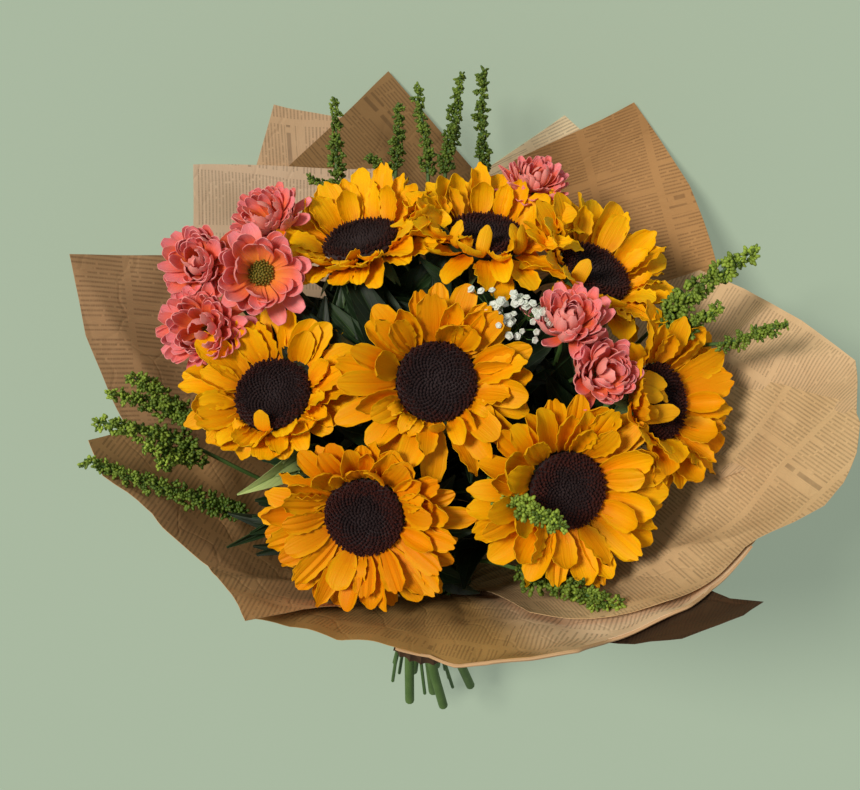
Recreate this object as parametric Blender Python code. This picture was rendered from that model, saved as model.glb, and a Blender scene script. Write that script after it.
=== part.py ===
"""A hand-tied bunch of sunflowers with daisies, green spikes and baby's breath, wrapped in
newsprint sheets and lying on a table.

Driving dimensions are in millimetres and degrees; meshes are made in metres. Flowers are set out
in the bunch frame: z runs up the stems from the tie, x to the right, y towards the table side.
The empty "bunch" lays that frame down, and the paper is laid against the table plane z = 0.
"""
import math

import bmesh
import bpy
import numpy as np
from mathutils import Matrix, Vector

MM = 0.001

# How the bunch lies
AXIS_RISE = 27.5              # stems rise this much towards the flowers
TIE_PLACE = (-11.5, -138.0, 100.1)

# Sunflowers: place of the head, how far it nods from the stems' line and towards which side,
# the length of its petals, and how far its stem is cut below the tie
SUNFLOWERS = (
    ("1", (-47, 116, 316), 24, 122, 36, 150),
    ("2", (39, 118, 322), 20, 70, 36, 158),
    ("3", (113, 102, 300), 28, 19, 36, 151),
    ("4", (-106, 13, 268), 14, 215, 34, 160),
    ("5", (4, 4, 299), 31, 276, 36, 163),
    ("6", (-43, -65, 244), 50, 260, 37, 148),
    ("7", (90, -49, 250), 44, 291, 36, 161),
    ("8", (153, 13, 263), 50, 333, 36, 152),
)
DISC_RADIUS = 29.0
DISC_HEIGHT = 8.0
SEAT_INNER = 20.0             # petals are rooted between this radius and the disc's edge
PETAL_POINTS = 16
PETAL_THICK = 0.8
PETAL_LIFTS = (8, 20, 34, 48, 62, 74)
STEM_RADIUS = 4.2
BRACT_REACH = 31.0
NECK_BEND = 62.0              # length of stem that turns to face the head

# Leaves on the sunflower stems: stem, height where it leaves the stem, tip, half width
LEAVES = (
    ("4", 222, (-146, -34, 214), 13),
    ("4", 205, (-72, -42, 214), 11),
    ("1", 236, (-76, 66, 288), 13),
    ("5", 226, (-22, 76, 290), 14),
    ("2", 246, (20, 70, 296), 12),
    ("7", 150, (84, -86, 184), 12),
)
LEAF_THICK = 0.9
LEAF_ARCH = 14.0

# Daisies: spray, place of the head, nod, side, radius
DAISIES = (
    ("1", "left", (-113, 133, 312), 35, 150, 25),
    ("2", "left", (-113, 80, 318), 24, 250, 27),
    ("3", "left", (-166, 108, 300), 40, 175, 25),
    ("4", "left", (-164, 60, 276), 52, 205, 25),
    ("5", "right", (88, 46, 322), 18, 110, 24),
    ("6", "right", (118, 18, 300), 34, 330, 23),
    ("7", "back", (76, 172, 318), 29, 60, 24),
)
SPRAY_FORKS = {"left": (-92, 62, 205), "right": (72, 30, 225), "back": (52, 118, 230)}
DAISY_STEM = 2.2
DAISY_TWIG = 1.5
DAISY_DEPTH = 13.0

# Green spikes: where the knobbly part starts and where its tip is
SPIKES = (
    ("1", (-70, 178, 300), (-70, 229, 340)),
    ("2", (-26, 186, 312), (-24, 224, 342)),
    ("3", (-2, 182, 306), (-8, 238, 344)),
    ("4", (12, 178, 312), (22, 237, 358)),
    ("5", (38, 184, 314), (38, 232, 367)),
    ("6", (166, 66, 292), (221, 92, 330)),
    ("7", (206, 62, 285), (239, 40, 318)),
    ("8", (-165, 26, 226), (-211, 39, 258)),
    ("9", (-168, 4, 214), (-229, 6, 248)),
    ("10", (-134, -40, 198), (-218, -18, 240)),
    ("11", (32, -46, 248), (76, -92, 298)),
    ("12", (63, -86, 206), (118, -126, 232)),
)
SPIKE_STEM = 1.6
SPIKE_KNOB = 5.6
SPIKE_KNOBS = 5

# Baby's breath: where its sprig forks, and the buds
SPRIG_FORK = (52, 50, 296)
SPRIG_BUDS = ((34, 62, 338), (46, 40, 344), (58, 60, 350), (48, 76, 340), (66, 42, 338), (40, 50, 352))
SPRIG_STEM = 1.3
SPRIG_TWIG = 0.8
BUD_RADIUS = 3.4

# Bundle at the tie
BUNDLE_SPREAD = 0.011         # growth of the bundle per millimetre above the tie
TAIL_SPREAD = 0.0098          # and below it
TAIL_TWIST = 0.22             # degrees of turn per millimetre below the tie
REST_GAP = 0.3                # between the lowest stem ends and the table
THIN_STEM_CUT = 138           # how far the thin stems reach below the tie
BINDING_RADIUS = 25.2
BINDING_THICK = 1.6
BINDING_HEIGHT = 14.0
TIE_THICK = 2.6
TIE_HEIGHT = 10.0

# Wrapping paper: a cone that opens differently at the front, the sides and the back
NECK_RADIUS = 36.0
NECK_ARC = 50.0               # slant length over which the paper turns outwards
OPEN_MEAN, OPEN_TILT, OPEN_SIDES = 43.6, 7.75, 2.9
PAPER_TAIL = 40.0
TAIL_FLARE = 0.25
LAYER_STEP = 2.0
PAPER_THICK = 0.5
TABLE_EASE = 10.0             # height over which the paper eases down onto the table
FLAT_RATIO = 0.68             # flat angle of the sheet per angle round the bunch
BACK_SIDE = (60, 130)         # angles where the paper lies on the table and is cut finer
BACK_COLUMN, OPEN_COLUMN = 6.0, 7.5
BACK_ROW, OPEN_ROW = 36.0, 130.0
# Each sheet: layer counted inwards, and its outline as (angle round the bunch, slant reach)
SHEETS = (
    ("1", 2, ((96, 342), (127.9, 380), (150, 258))),
    ("2", 1, ((78, 320), (95.5, 424), (124, 330))),
    ("3", 0, ((97, 382), (111.8, 409), (140, 270))),
    ("4", 0, ((48, 346), (70.5, 396), (96, 290))),
    ("5", 2, ((26, 318), (47.6, 375), (61.4, 418), (76.2, 352))),
    ("6", 3, ((124, 294), (153, 385), (161.7, 341), (182, 256))),
    ("7", 4, ((156, 246), (183.4, 317), (202, 246), (223.6, 246), (244, 205))),
    ("8", 3, ((-38, 262), (-21, 316), (-10.6, 378), (5.6, 383), (19.1, 361), (31.9, 340), (46, 282))),
    ("9", 1, ((214, 222), (236, 238), (262, 234), (284, 280), (308.5, 328), (334.1, 317), (350, 270))),
    ("10", 0, ((226, 232), (250, 240), (274, 262), (298, 300), (310, 306), (322.8, 362), (340, 284))),
)

CLEARANCE = 1.6               # kept between pieces of different stems

WORLD_FROM_BUNCH = Matrix.Translation(Vector(TIE_PLACE)) @ Matrix.Rotation(
    math.radians(AXIS_RISE - 90), 4, "X")


# ---------------------------------------------------------------- materials and objects

def material(name, colour, roughness=0.6):
    made = bpy.data.materials.new(name)
    made.use_nodes = True
    shader = made.node_tree.nodes["Principled BSDF"]
    shader.inputs["Base Color"].default_value = (*colour, 1)
    shader.inputs["Roughness"].default_value = roughness
    return made


def place_mesh(name, verts, faces, finish, parent=None, closed=True):
    """A mesh object from millimetre points; a closed one has its faces turned outwards."""
    mesh = bpy.data.meshes.new(name)
    mesh.from_pydata([tuple(c * MM for c in v) for v in verts], [], faces)
    if closed:
        bm = bmesh.new()
        bm.from_mesh(mesh)
        bmesh.ops.recalc_face_normals(bm, faces=bm.faces)
        bm.to_mesh(mesh)
        bm.free()
    mesh.shade_smooth()
    mesh.set_sharp_from_angle(angle=math.radians(40))
    mesh.materials.append(finish)
    piece = bpy.data.objects.new(name, mesh)
    bpy.context.collection.objects.link(piece)
    piece.parent = parent
    return piece


def ring_faces(rings, sides, capped=True):
    """Quads between rings of equal size, with an n-gon at each end."""
    faces = []
    for ring in range(rings - 1):
        for side in range(sides):
            across = (side + 1) % sides
            faces.append((ring * sides + side, ring * sides + across,
                          (ring + 1) * sides + across, (ring + 1) * sides + side))
    if capped:
        faces.append(tuple(reversed(range(sides))))
        faces.append(tuple(range((rings - 1) * sides, rings * sides)))
    return faces


def fuse(target, others):
    """Grow the others into the target: one closed body."""
    for other in others:
        other.hide_render = True
        other.display_type = "WIRE"
        join = target.modifiers.new("join_" + other.name, "BOOLEAN")
        join.operation = "UNION"
        join.solver = "EXACT"
        join.object = other


# ---------------------------------------------------------------- paths of stems

def facing(nod, side):
    """Unit direction that a head faces."""
    nod, side = math.radians(nod), math.radians(side)
    return np.array((math.sin(nod) * math.cos(side), math.sin(nod) * math.sin(side), math.cos(nod)))


def bundle_spots(goals, radii):
    """Where each stem crosses the tie: set out by its lean, drawn in until the stems nearly touch."""
    spots = np.array([(x / z, y / z) for x, y, z in goals]) * 30
    for _ in range(900):
        spots *= 0.996
        for i in range(len(spots)):
            for j in range(i):
                apart = spots[i] - spots[j]
                distance = max(np.linalg.norm(apart), 1e-6)
                lack = radii[i] + radii[j] + 0.9 - distance
                if lack > 0:
                    push = apart / distance * lack / 2
                    spots[i] += push
                    spots[j] -= push
    return spots


def bezier(points, t):
    a, b, c, d = (np.array(p, float) for p in points)
    return (1 - t) ** 3 * a + 3 * (1 - t) ** 2 * t * b + 3 * (1 - t) * t ** 2 * c + t ** 3 * d


def stem_path(spot, width, cut, goal, direction, bend, steps=9):
    """Points from the cut end, which the table may lift, through the tie, to the goal."""
    points = []
    for drop in (cut, cut * 0.6, cut * 0.25, 12):
        turn = math.radians(TAIL_TWIST * drop)
        x, y = np.array(spot) * (1 + TAIL_SPREAD * drop)
        point = Vector((x * math.cos(turn) - y * math.sin(turn), x * math.sin(turn) + y * math.cos(turn), -drop))
        sunk = width + REST_GAP - (WORLD_FROM_BUNCH @ point).z
        point.y -= max(sunk, 0) / math.cos(math.radians(AXIS_RISE))
        points.append(np.array(point))
    start = np.array((spot[0], spot[1], 0.0))
    lead = 0.36 * goal[2]
    swell = np.array((spot[0] * BUNDLE_SPREAD, spot[1] * BUNDLE_SPREAD, 1.0)) * lead
    goal = np.array(goal, float)
    controls = (start, start + swell, goal - direction * bend, goal)
    points += [bezier(controls, step / steps) for step in range(steps + 1)]
    return points


def sweep(points, radii, sides, tips=None, across=None):
    """Rings round a path; tips gives every other point of a ring a radius of its own."""
    points = np.array(points)
    steps = np.gradient(points, axis=0)
    steps /= np.linalg.norm(steps, axis=1)[:, None]
    if across is None:
        across = np.cross(steps[0], (0.0, 1.0, 0.3))
    verts = []
    for index, (point, step) in enumerate(zip(points, steps)):
        across = across - step * across.dot(step)
        across /= np.linalg.norm(across)
        up = np.cross(step, across)
        for side in range(sides):
            radius = radii[index]
            if tips and side % 2:
                radius = tips[index]
            angle = 2 * math.pi * side / sides
            verts.append(point + radius * (math.cos(angle) * across + math.sin(angle) * up))
    return verts, ring_faces(len(points), sides)


# ---------------------------------------------------------------- room for each head

class Room:
    """Keeps each head to its own side of its neighbours and clear of their stems."""

    def __init__(self):
        self.heads = []
        self.paths = []

    def add_head(self, owner, place, reach):
        self.heads.append((owner, np.array(place, float), reach))

    def add_path(self, owner, points, radius):
        points = np.array(points)
        fine = [points[0]]
        for a, b in zip(points[:-1], points[1:]):
            count = max(1, int(np.linalg.norm(b - a) / 4))
            fine += [a + (b - a) * k / count for k in range(1, count + 1)]
        self.paths.append((owner, np.array(fine), radius))

    def clear(self, owner, place, reach, point, margin=CLEARANCE):
        for other, centre, other_reach in self.heads:
            if other == owner:
                continue
            away = centre - place
            distance = np.linalg.norm(away)
            share = distance * reach / (reach + other_reach)
            if (point - place).dot(away) / distance > share - margin:
                return False
        for other, points, radius in self.paths:
            if other != owner and np.linalg.norm(points - point, axis=1).min() < radius + margin + 2:
                return False
        return True


# ---------------------------------------------------------------- flowers

def head_matrix(place, direction):
    turn = Vector(direction).to_track_quat("Z", "Y").to_matrix().to_4x4()
    return Matrix.Translation(Vector(place) * MM) @ turn


def petal_ring(name, place, direction, length, room, finish, bunch):
    """Ray petals on one seat: each stands up as far as its neighbours make it."""
    axes = np.array(head_matrix(place, direction).to_3x3())
    place = np.array(place, float)
    root = DISC_RADIUS + 1.5
    reach = root + length

    def petal_point(angle, lift, distance):
        out = root + distance * math.cos(lift)
        height = distance * math.sin(lift)
        return np.array((out * math.cos(angle), out * math.sin(angle), height))

    shapes = []
    for petal in range(PETAL_POINTS):
        angle = 2 * math.pi * petal / PETAL_POINTS
        chosen = (PETAL_LIFTS[-1], 5.0)
        for scale in (1.0, 0.85, 0.7, 0.55, 0.4, 0.25):
            for lift in PETAL_LIFTS:
                line = [place + axes @ petal_point(angle, math.radians(lift), length * scale * k)
                        for k in (0.35, 0.7, 1.0)]
                if all(room.clear(name, place, reach, p) for p in line):
                    chosen = (lift, length * scale)
                    break
            else:
                continue
            break
        shapes.append(chosen)

    verts, columns = [], 2 * PETAL_POINTS
    for column in range(columns):
        angle = math.pi * column / PETAL_POINTS
        lift, distance = shapes[column // 2]
        if column % 2:
            after = shapes[(column // 2 + 1) % PETAL_POINTS]
            lift = max(lift, after[0])
            distance = min(distance, after[1]) * 0.42
        lift = math.radians(lift)
        verts.append((SEAT_INNER * math.cos(angle), SEAT_INNER * math.sin(angle), 0))
        for part in (0, 0.55, 1):
            verts.append(petal_point(angle, lift, distance * part))
    faces = []
    for column in range(columns):
        after = (column + 1) % columns
        for row in range(3):
            faces.append((column * 4 + row, column * 4 + row + 1, after * 4 + row + 1, after * 4 + row))
    ring = place_mesh(name, verts, faces, finish, bunch, closed=False)
    ring.matrix_local = head_matrix(place, direction)
    shell = ring.modifiers.new("thickness", "SOLIDIFY")
    shell.thickness = PETAL_THICK * MM
    shell.offset = -1
    return ring


def seed_disc(name, place, direction, finish, bunch):
    """The dark domed middle: flat below, hollowed a little on top."""
    sides = 14
    profile = ((24.0, 0.4), (DISC_RADIUS - 0.6, 1.6), (DISC_RADIUS - 1, 5.0), (22.0, DISC_HEIGHT),
               (9.0, DISC_HEIGHT - 2.2))
    verts = []
    for radius, height in profile:
        for side in range(sides):
            angle = 2 * math.pi * side / sides
            verts.append((radius * math.cos(angle), radius * math.sin(angle), height))
    disc = place_mesh(name, verts, ring_faces(len(profile), sides), finish, bunch)
    disc.matrix_local = head_matrix(place, direction)
    return disc


def sunflower_stem(name, points, direction, finish, bunch):
    """Stem that swells into the seat behind the petals, with a crown of pointed bracts."""
    goal = points[-1]
    seat = [goal - direction * back for back in (34, 24, 14, 8, 4, 1.3)]
    points = points[:-1] + seat
    while len(points) > 7 and np.linalg.norm(points[-7] - seat[0]) < 14:
        points.pop(-7)
    plain = len(points) - len(seat)
    radii = [STEM_RADIUS] * plain + [4.6, 6.0, 14.0, 20.0, 21.0, 18.0]
    tips = [STEM_RADIUS] * plain + [4.6, 6.0, 14.0, 23.0, BRACT_REACH, 18.0]
    verts, faces = sweep(points, radii, 8, tips)
    return place_mesh(name, verts, faces, finish, bunch)


def leaf(name, path, height, tip, half_width, finish, bunch):
    """A pointed blade that leaves the stem at this height and arches out to its tip."""
    path = np.array(path)
    start = np.array([np.interp(height, path[:, 2], path[:, axis]) for axis in range(3)])
    tip = np.array(tip, float)
    arch = np.array((0, 0, LEAF_ARCH))
    controls = (start, start + (tip - start) * 0.3 + arch, start + (tip - start) * 0.7 + arch, tip)
    steps = 6
    points = [bezier(controls, step / steps) for step in range(steps + 1)]
    widths = [1.6 + half_width * math.sin(math.pi * (step / steps) ** 0.8) ** 1.2 for step in range(steps)]
    widths.append(0.8)
    verts, faces = sweep(points, [LEAF_THICK] * len(points), 4, widths, np.array((0.0, 0.0, 1.0)))
    return place_mesh(name, verts, faces, finish, bunch)


def daisy_head(name, place, direction, radius, room, finish, bunch):
    """A shaggy daisy: a star of petals round a small button, closed underneath."""
    sides = 22
    axes = np.array(head_matrix(place, direction).to_3x3())
    place = np.array(place, float)
    rows = ((0.12, 0.12, -1.0), (0.55, 0.55, 0.1), (1.0, 0.72, 0.35), (0.66, 0.5, 0.78), (0.2, 0.2, 0.9))
    limits = []
    for side in range(sides):
        angle = 2 * math.pi * side / sides
        size = radius
        while size > 9:
            tip = np.array((size * math.cos(angle), size * math.sin(angle), DAISY_DEPTH * 0.3))
            if room.clear(name, place, radius, place + axes @ tip, 2.2):
                break
            size -= 1.5
        limits.append(size)
    verts = []
    for tip, valley, height in rows:
        for side in range(sides):
            angle = 2 * math.pi * side / sides
            nearest = min(limits[side - 1], limits[side], limits[(side + 1) % sides])
            out = (valley if side % 2 else tip) * nearest
            lift = DAISY_DEPTH * (height if height > 0 else 0.35 * height)
            verts.append((out * math.cos(angle), out * math.sin(angle), lift))
    head = place_mesh(name, verts, ring_faces(len(rows), sides), finish, bunch)
    head.matrix_local = head_matrix(place, direction)
    return head


def green_spike(name, points, base, tip, finish, bunch):
    """Thin stem that carries a row of knobs, one swept body."""
    base, tip = np.array(base, float), np.array(tip, float)
    centres, radii = list(points), [SPIKE_STEM] * len(points)
    for knob in range(SPIKE_KNOBS):
        size = SPIKE_KNOB * (1 - 0.5 * knob / SPIKE_KNOBS)
        for part, swell in ((0.25, size), (0.85, size * 0.55)):
            centres.append(base + (tip - base) * (knob + part) / SPIKE_KNOBS)
            radii.append(swell)
    verts, faces = sweep(centres, radii, 6)
    return place_mesh(name, verts, faces, finish, bunch)


def twig(name, controls, radii, finish, bunch, steps=4, sides=6):
    points = [bezier(controls, step / steps) for step in range(steps + 1)]
    widths = [radii[0] + (radii[1] - radii[0]) * step / steps for step in range(steps + 1)]
    verts, faces = sweep(points, widths, sides)
    return place_mesh(name, verts, faces, finish, bunch)


def bud(name, place, finish, bunch):
    bm = bmesh.new()
    bmesh.ops.create_uvsphere(bm, u_segments=7, v_segments=5, radius=BUD_RADIUS * MM)
    mesh = bpy.data.meshes.new(name)
    bm.to_mesh(mesh)
    bm.free()
    mesh.materials.append(finish)
    piece = bpy.data.objects.new(name, mesh)
    bpy.context.collection.objects.link(piece)
    piece.parent = bunch
    piece.location = Vector(place) * MM
    return piece


# ---------------------------------------------------------------- bands and paper

def band(name, inner, thick, height, finish, bunch, sides=24):
    """A closed band round the stems at the tie."""
    half = height / 2
    section = ((inner, -half), (inner + thick, -half * 0.7), (inner + thick, half * 0.7), (inner, half))
    verts = []
    for radius, rise in section:
        for side in range(sides):
            angle = 2 * math.pi * side / sides
            verts.append((radius * math.cos(angle), radius * math.sin(angle), rise))
    faces = ring_faces(4, sides, capped=False)
    for side in range(sides):
        across = (side + 1) % sides
        faces.append((3 * sides + side, 3 * sides + across, across, side))
    return place_mesh(name, verts, faces, finish, bunch)


def opening(angle):
    """How far the paper leans out from the stems' line, in radians."""
    return math.radians(OPEN_MEAN + OPEN_TILT * math.sin(angle) + OPEN_SIDES * math.cos(2 * angle))


def wrap_point(angle, slant, inset):
    """World point of the wrap, on the layer that lies this far inside the outermost one."""
    lean = opening(angle)
    curve = lean / NECK_ARC
    if slant < TIE_HEIGHT / 2:
        turned, rise = 0.0, slant
        out = NECK_RADIUS + TAIL_FLARE * max(0, -TIE_HEIGHT / 2 - slant)
    else:
        beyond = slant - TIE_HEIGHT / 2
        arc = min(beyond, NECK_ARC)
        turned = curve * arc
        out = NECK_RADIUS + (1 - math.cos(turned)) / curve + (beyond - arc) * math.sin(lean)
        rise = TIE_HEIGHT / 2 + math.sin(turned) / curve + (beyond - arc) * math.cos(lean)
    out -= inset * math.cos(turned)
    rise += inset * math.sin(turned)
    point = WORLD_FROM_BUNCH @ Vector((out * math.cos(angle), out * math.sin(angle), rise))
    near = max(TABLE_EASE - abs(point.z - inset), 0)
    point.z = max(point.z, inset) + near * near / (4 * TABLE_EASE)
    return point


def reach_at(outline, angle):
    """Slant reach of a sheet's straight-cut edge, measured on the sheet laid flat."""
    for (a, ra), (b, rb) in zip(outline[:-1], outline[1:]):
        if a <= angle <= b:
            whole = math.radians((b - a) * FLAT_RATIO)
            left = math.radians((b - angle) * FLAT_RATIO)
            right = math.radians((angle - a) * FLAT_RATIO)
            return ra * rb * math.sin(whole) / (ra * math.sin(right) + rb * math.sin(left))
    return outline[-1][1]


def paper_sheet(name, layer, outline, finish):
    middle = (outline[0][0] + outline[-1][0]) / 2
    at_back = BACK_SIDE[0] - 15 < middle < BACK_SIDE[1]
    column_step, row_step = (BACK_COLUMN, BACK_ROW) if at_back else (OPEN_COLUMN, OPEN_ROW)
    angles = []
    for (a, _), (b, _) in zip(outline[:-1], outline[1:]):
        count = math.ceil((b - a) / column_step)
        angles += [a + (b - a) * k / count for k in range(count)]
    angles.append(outline[-1][0])
    furthest = max(reach for _, reach in outline)
    turn_end = TIE_HEIGHT / 2 + NECK_ARC
    rows = math.ceil((furthest - turn_end) / row_step)
    verts = []
    for angle in angles:
        reach = reach_at(outline, angle)
        slants = [-PAPER_TAIL, -TIE_HEIGHT / 2, TIE_HEIGHT / 2, (TIE_HEIGHT + NECK_ARC) / 2]
        slants += [turn_end + (reach - turn_end) * k / rows for k in range(rows + 1)]
        verts += [wrap_point(math.radians(angle), slant, layer * LAYER_STEP) for slant in slants]
    per_column = len(verts) // len(angles)
    faces = []
    for column in range(len(angles) - 1):
        for row in range(per_column - 1):
            a = column * per_column + row
            faces.append((a, a + per_column, a + per_column + 1, a + 1))
    sheet = place_mesh(name, verts, faces, finish, closed=False)
    shell = sheet.modifiers.new("thickness", "SOLIDIFY")
    shell.thickness = PAPER_THICK * MM
    shell.offset = -1
    return sheet


# ---------------------------------------------------------------- the bouquet

def build():
    for old in list(bpy.data.objects):
        bpy.data.objects.remove(old)
    bunch = bpy.data.objects.new("bunch", None)
    bpy.context.collection.objects.link(bunch)
    bunch.location = Vector(TIE_PLACE) * MM
    bunch.rotation_euler = (math.radians(AXIS_RISE - 90), 0, 0)

    goals = [place for _, place, *_ in SUNFLOWERS]
    goals += list(SPRAY_FORKS.values())
    goals += [base for _, base, _ in SPIKES]
    goals.append(SPRIG_FORK)
    widths = ([STEM_RADIUS] * len(SUNFLOWERS) + [DAISY_STEM] * len(SPRAY_FORKS)
              + [SPIKE_STEM] * len(SPIKES) + [SPRIG_STEM])
    spots = list(bundle_spots(goals, widths))

    room = Room()
    stems = {}
    for name, place, nod, side, length, cut in SUNFLOWERS:
        direction = facing(nod, side)
        stems[name] = stem_path(spots.pop(0), STEM_RADIUS, cut, place, direction, NECK_BEND)
        room.add_head("sunflower_petals_" + name, place, DISC_RADIUS + 1.5 + length)
        room.add_path("sunflower_petals_" + name, stems[name], STEM_RADIUS)
    for name, spray, place, nod, side, radius in DAISIES:
        room.add_head("daisy_head_" + name, place, radius)
    forks = {}
    for spray, fork in SPRAY_FORKS.items():
        towards = np.array(fork, float) / np.linalg.norm(fork)
        forks[spray] = stem_path(spots.pop(0), DAISY_STEM, THIN_STEM_CUT, fork, towards, 40, 6)
        room.add_path("daisy_spray_" + spray, forks[spray], DAISY_STEM)
    shafts = {}
    for name, base, tip in SPIKES:
        along = np.array(tip, float) - np.array(base, float)
        along /= np.linalg.norm(along)
        shafts[name] = stem_path(spots.pop(0), SPIKE_STEM, THIN_STEM_CUT, base, along, 60, 7)
        room.add_path("green_spike_" + name, shafts[name], SPIKE_STEM)
        room.add_path("green_spike_" + name, (base, tip), SPIKE_KNOB)
    towards = np.array(SPRIG_FORK, float) / np.linalg.norm(SPRIG_FORK)
    sprig = stem_path(spots.pop(0), SPRIG_STEM, THIN_STEM_CUT, SPRIG_FORK, towards, 60, 7)
    room.add_path("babys_breath", sprig, SPRIG_STEM)
    for place in SPRIG_BUDS:
        room.add_path("babys_breath", (SPRIG_FORK, place), BUD_RADIUS)

    for name, place, nod, side, length, cut in SUNFLOWERS:
        direction = facing(nod, side)
        yellow = material("petal_yellow_" + name, (0.86, 0.42, 0.01), 0.5)
        dark = material("disc_brown_" + name, (0.035, 0.015, 0.012), 0.9)
        green = material("stem_green_" + name, (0.16, 0.27, 0.06), 0.6)
        petal_ring("sunflower_petals_" + name, place, direction, length, room, yellow, bunch)
        seed_disc("sunflower_disc_" + name, place, direction, dark, bunch)
        stem = sunflower_stem("sunflower_stem_" + name, stems[name], direction, green, bunch)
        leaves = [leaf(f"leaf_{name}_{index}", stems[name], height, tip, half_width, green, bunch)
                  for index, (owner, height, tip, half_width) in enumerate(LEAVES) if owner == name]
        fuse(stem, leaves)

    for spray, points in forks.items():
        green = material("spray_green_" + spray, (0.15, 0.25, 0.07))
        verts, faces = sweep(points, [DAISY_STEM] * len(points), 6)
        trunk = place_mesh("daisy_stem_" + spray, verts, faces, green, bunch)
        twigs = []
        for name, owner, place, nod, side, radius in DAISIES:
            if owner != spray:
                continue
            direction = facing(nod, side)
            pink = material("daisy_pink_" + name, (0.78, 0.16, 0.14), 0.55)
            daisy_head("daisy_head_" + name, place, direction, radius, room, pink, bunch)
            base = np.array(place, float) - direction * (DAISY_DEPTH * 0.35 + 0.4)
            start = points[-2] * 0.25 + points[-1] * 0.75
            rise = points[-1] - points[-2]
            rise /= np.linalg.norm(rise)
            controls = (start, start + rise * 30, base - direction * 38, base)
            twigs.append(twig("twig_" + name, controls, (DAISY_STEM * 0.9, DAISY_TWIG), green, bunch))
        fuse(trunk, twigs)

    for name, base, tip in SPIKES:
        green = material("spike_green_" + name, (0.14, 0.3, 0.05), 0.6)
        green_spike("green_spike_" + name, shafts[name][:-1], base, tip, green, bunch)

    white = material("bud_white", (0.85, 0.86, 0.78), 0.6)
    verts, faces = sweep(sprig, [SPRIG_STEM] * len(sprig), 6)
    trunk = place_mesh("babys_breath", verts, faces, white, bunch)
    parts = []
    for index, place in enumerate(SPRIG_BUDS):
        start = sprig[-2] * 0.1 + sprig[-1] * 0.9
        end = np.array(place, float)
        rise = (sprig[-1] - sprig[-2]) / np.linalg.norm(sprig[-1] - sprig[-2])
        controls = (start, start + rise * 12, end - rise * 8, end)
        parts.append(twig(f"sprig_{index}", controls, (SPRIG_TWIG, SPRIG_TWIG), white, bunch, 2, 5))
        parts.append(bud(f"bud_{index}", place, white, bunch))
    fuse(trunk, parts)

    band("stem_binding", BINDING_RADIUS, BINDING_THICK, BINDING_HEIGHT,
         material("binding_rubber", (0.55, 0.45, 0.25), 0.7), bunch)
    band("wrap_tie", NECK_RADIUS + 0.4, TIE_THICK, TIE_HEIGHT,
         material("tie_twine", (0.5, 0.36, 0.2), 0.8), bunch)
    for name, layer, outline in SHEETS:
        tan = material("newsprint_" + name, (0.52, 0.36, 0.22), 0.8)
        paper_sheet("paper_sheet_" + name, layer, outline, tan)


build()
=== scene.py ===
# %% [markdown]
# # A bunch of sunflowers in newsprint
# Eight sunflowers, seven pink daisies, knobbly green spikes and a sprig of baby's breath are tied
# together, wrapped in sheets of printed kraft paper and laid on a table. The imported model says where
# every piece is and how big it is. This file gives each one the shape and finish of the real thing.

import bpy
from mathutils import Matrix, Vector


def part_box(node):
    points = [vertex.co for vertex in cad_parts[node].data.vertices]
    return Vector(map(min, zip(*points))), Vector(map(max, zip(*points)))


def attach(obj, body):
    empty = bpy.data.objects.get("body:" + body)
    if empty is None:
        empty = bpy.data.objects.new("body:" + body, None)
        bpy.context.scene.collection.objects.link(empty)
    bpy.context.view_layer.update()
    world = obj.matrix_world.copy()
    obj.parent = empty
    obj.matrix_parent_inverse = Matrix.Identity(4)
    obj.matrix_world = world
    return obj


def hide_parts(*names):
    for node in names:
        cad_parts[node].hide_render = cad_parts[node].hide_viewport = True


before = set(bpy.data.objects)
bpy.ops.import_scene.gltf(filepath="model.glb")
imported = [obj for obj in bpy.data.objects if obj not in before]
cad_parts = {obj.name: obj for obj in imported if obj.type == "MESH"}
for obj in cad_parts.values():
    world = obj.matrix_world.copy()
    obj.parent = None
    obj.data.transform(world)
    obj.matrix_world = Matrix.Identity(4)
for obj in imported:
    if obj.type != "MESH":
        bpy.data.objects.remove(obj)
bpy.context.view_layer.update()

# %% Modules and units
import math
import random

import bmesh
import bpy
import numpy as np
from mathutils import Matrix, Vector
from mathutils.kdtree import KDTree

MM = 0.001
GOLDEN_ANGLE = math.pi * (3 - math.sqrt(5))
chance = random.Random(11)
print("sizes below are in millimetres, meshes in metres")

# %% [markdown]
# ## The bunch frame
# Stems, heads and paper are easiest to describe along the stems, not along the table. So the sizes
# below use a frame that starts at the tie: z runs up the stems, x to the right, y towards the table.
# The tie's own box gives its centre, and the stems rise a little from it to the flowers.

# %% The bunch frame, from the tie
AXIS_RISE = 27.5
tie_low, tie_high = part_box("wrap_tie")
tie_centre = (tie_low + tie_high) / 2
WORLD_FROM_BUNCH = Matrix.Translation(tie_centre) @ Matrix.Rotation(math.radians(AXIS_RISE - 90), 4, "X")
STEMS_UP = (WORLD_FROM_BUNCH.to_3x3() @ Vector((0, 0, 1))).normalized()


def to_world(point):
    """A place in the bunch frame, in millimetres, as a place in the scene."""
    return WORLD_FROM_BUNCH @ (Vector(point) * MM)


def moved(x, y, z):
    """The matrix of a move, in millimetres."""
    return Matrix.Translation((x * MM, y * MM, z * MM))


print("tie at", [round(c, 4) for c in tie_centre], "stems rise along", [round(c, 3) for c in STEMS_UP])

# %% [markdown]
# ## Camera, table and light
# A lying bunch is looked at from above and a little from its flower end. The table is one plain pale
# sage surface that glows a little, so that the bunch's shadow on it stays faint. One warm lamp shines
# evenly from the left, as through a bright window, and a pale surrounding light opens the shadows.

# %% Camera
VIEW_AIM = Vector((-0.0115, 0.1192, 0.2340))
VIEW_TILT = 27.5
VIEW_DISTANCE = 0.950
VIEW_WIDTH = 0.5736


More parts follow.
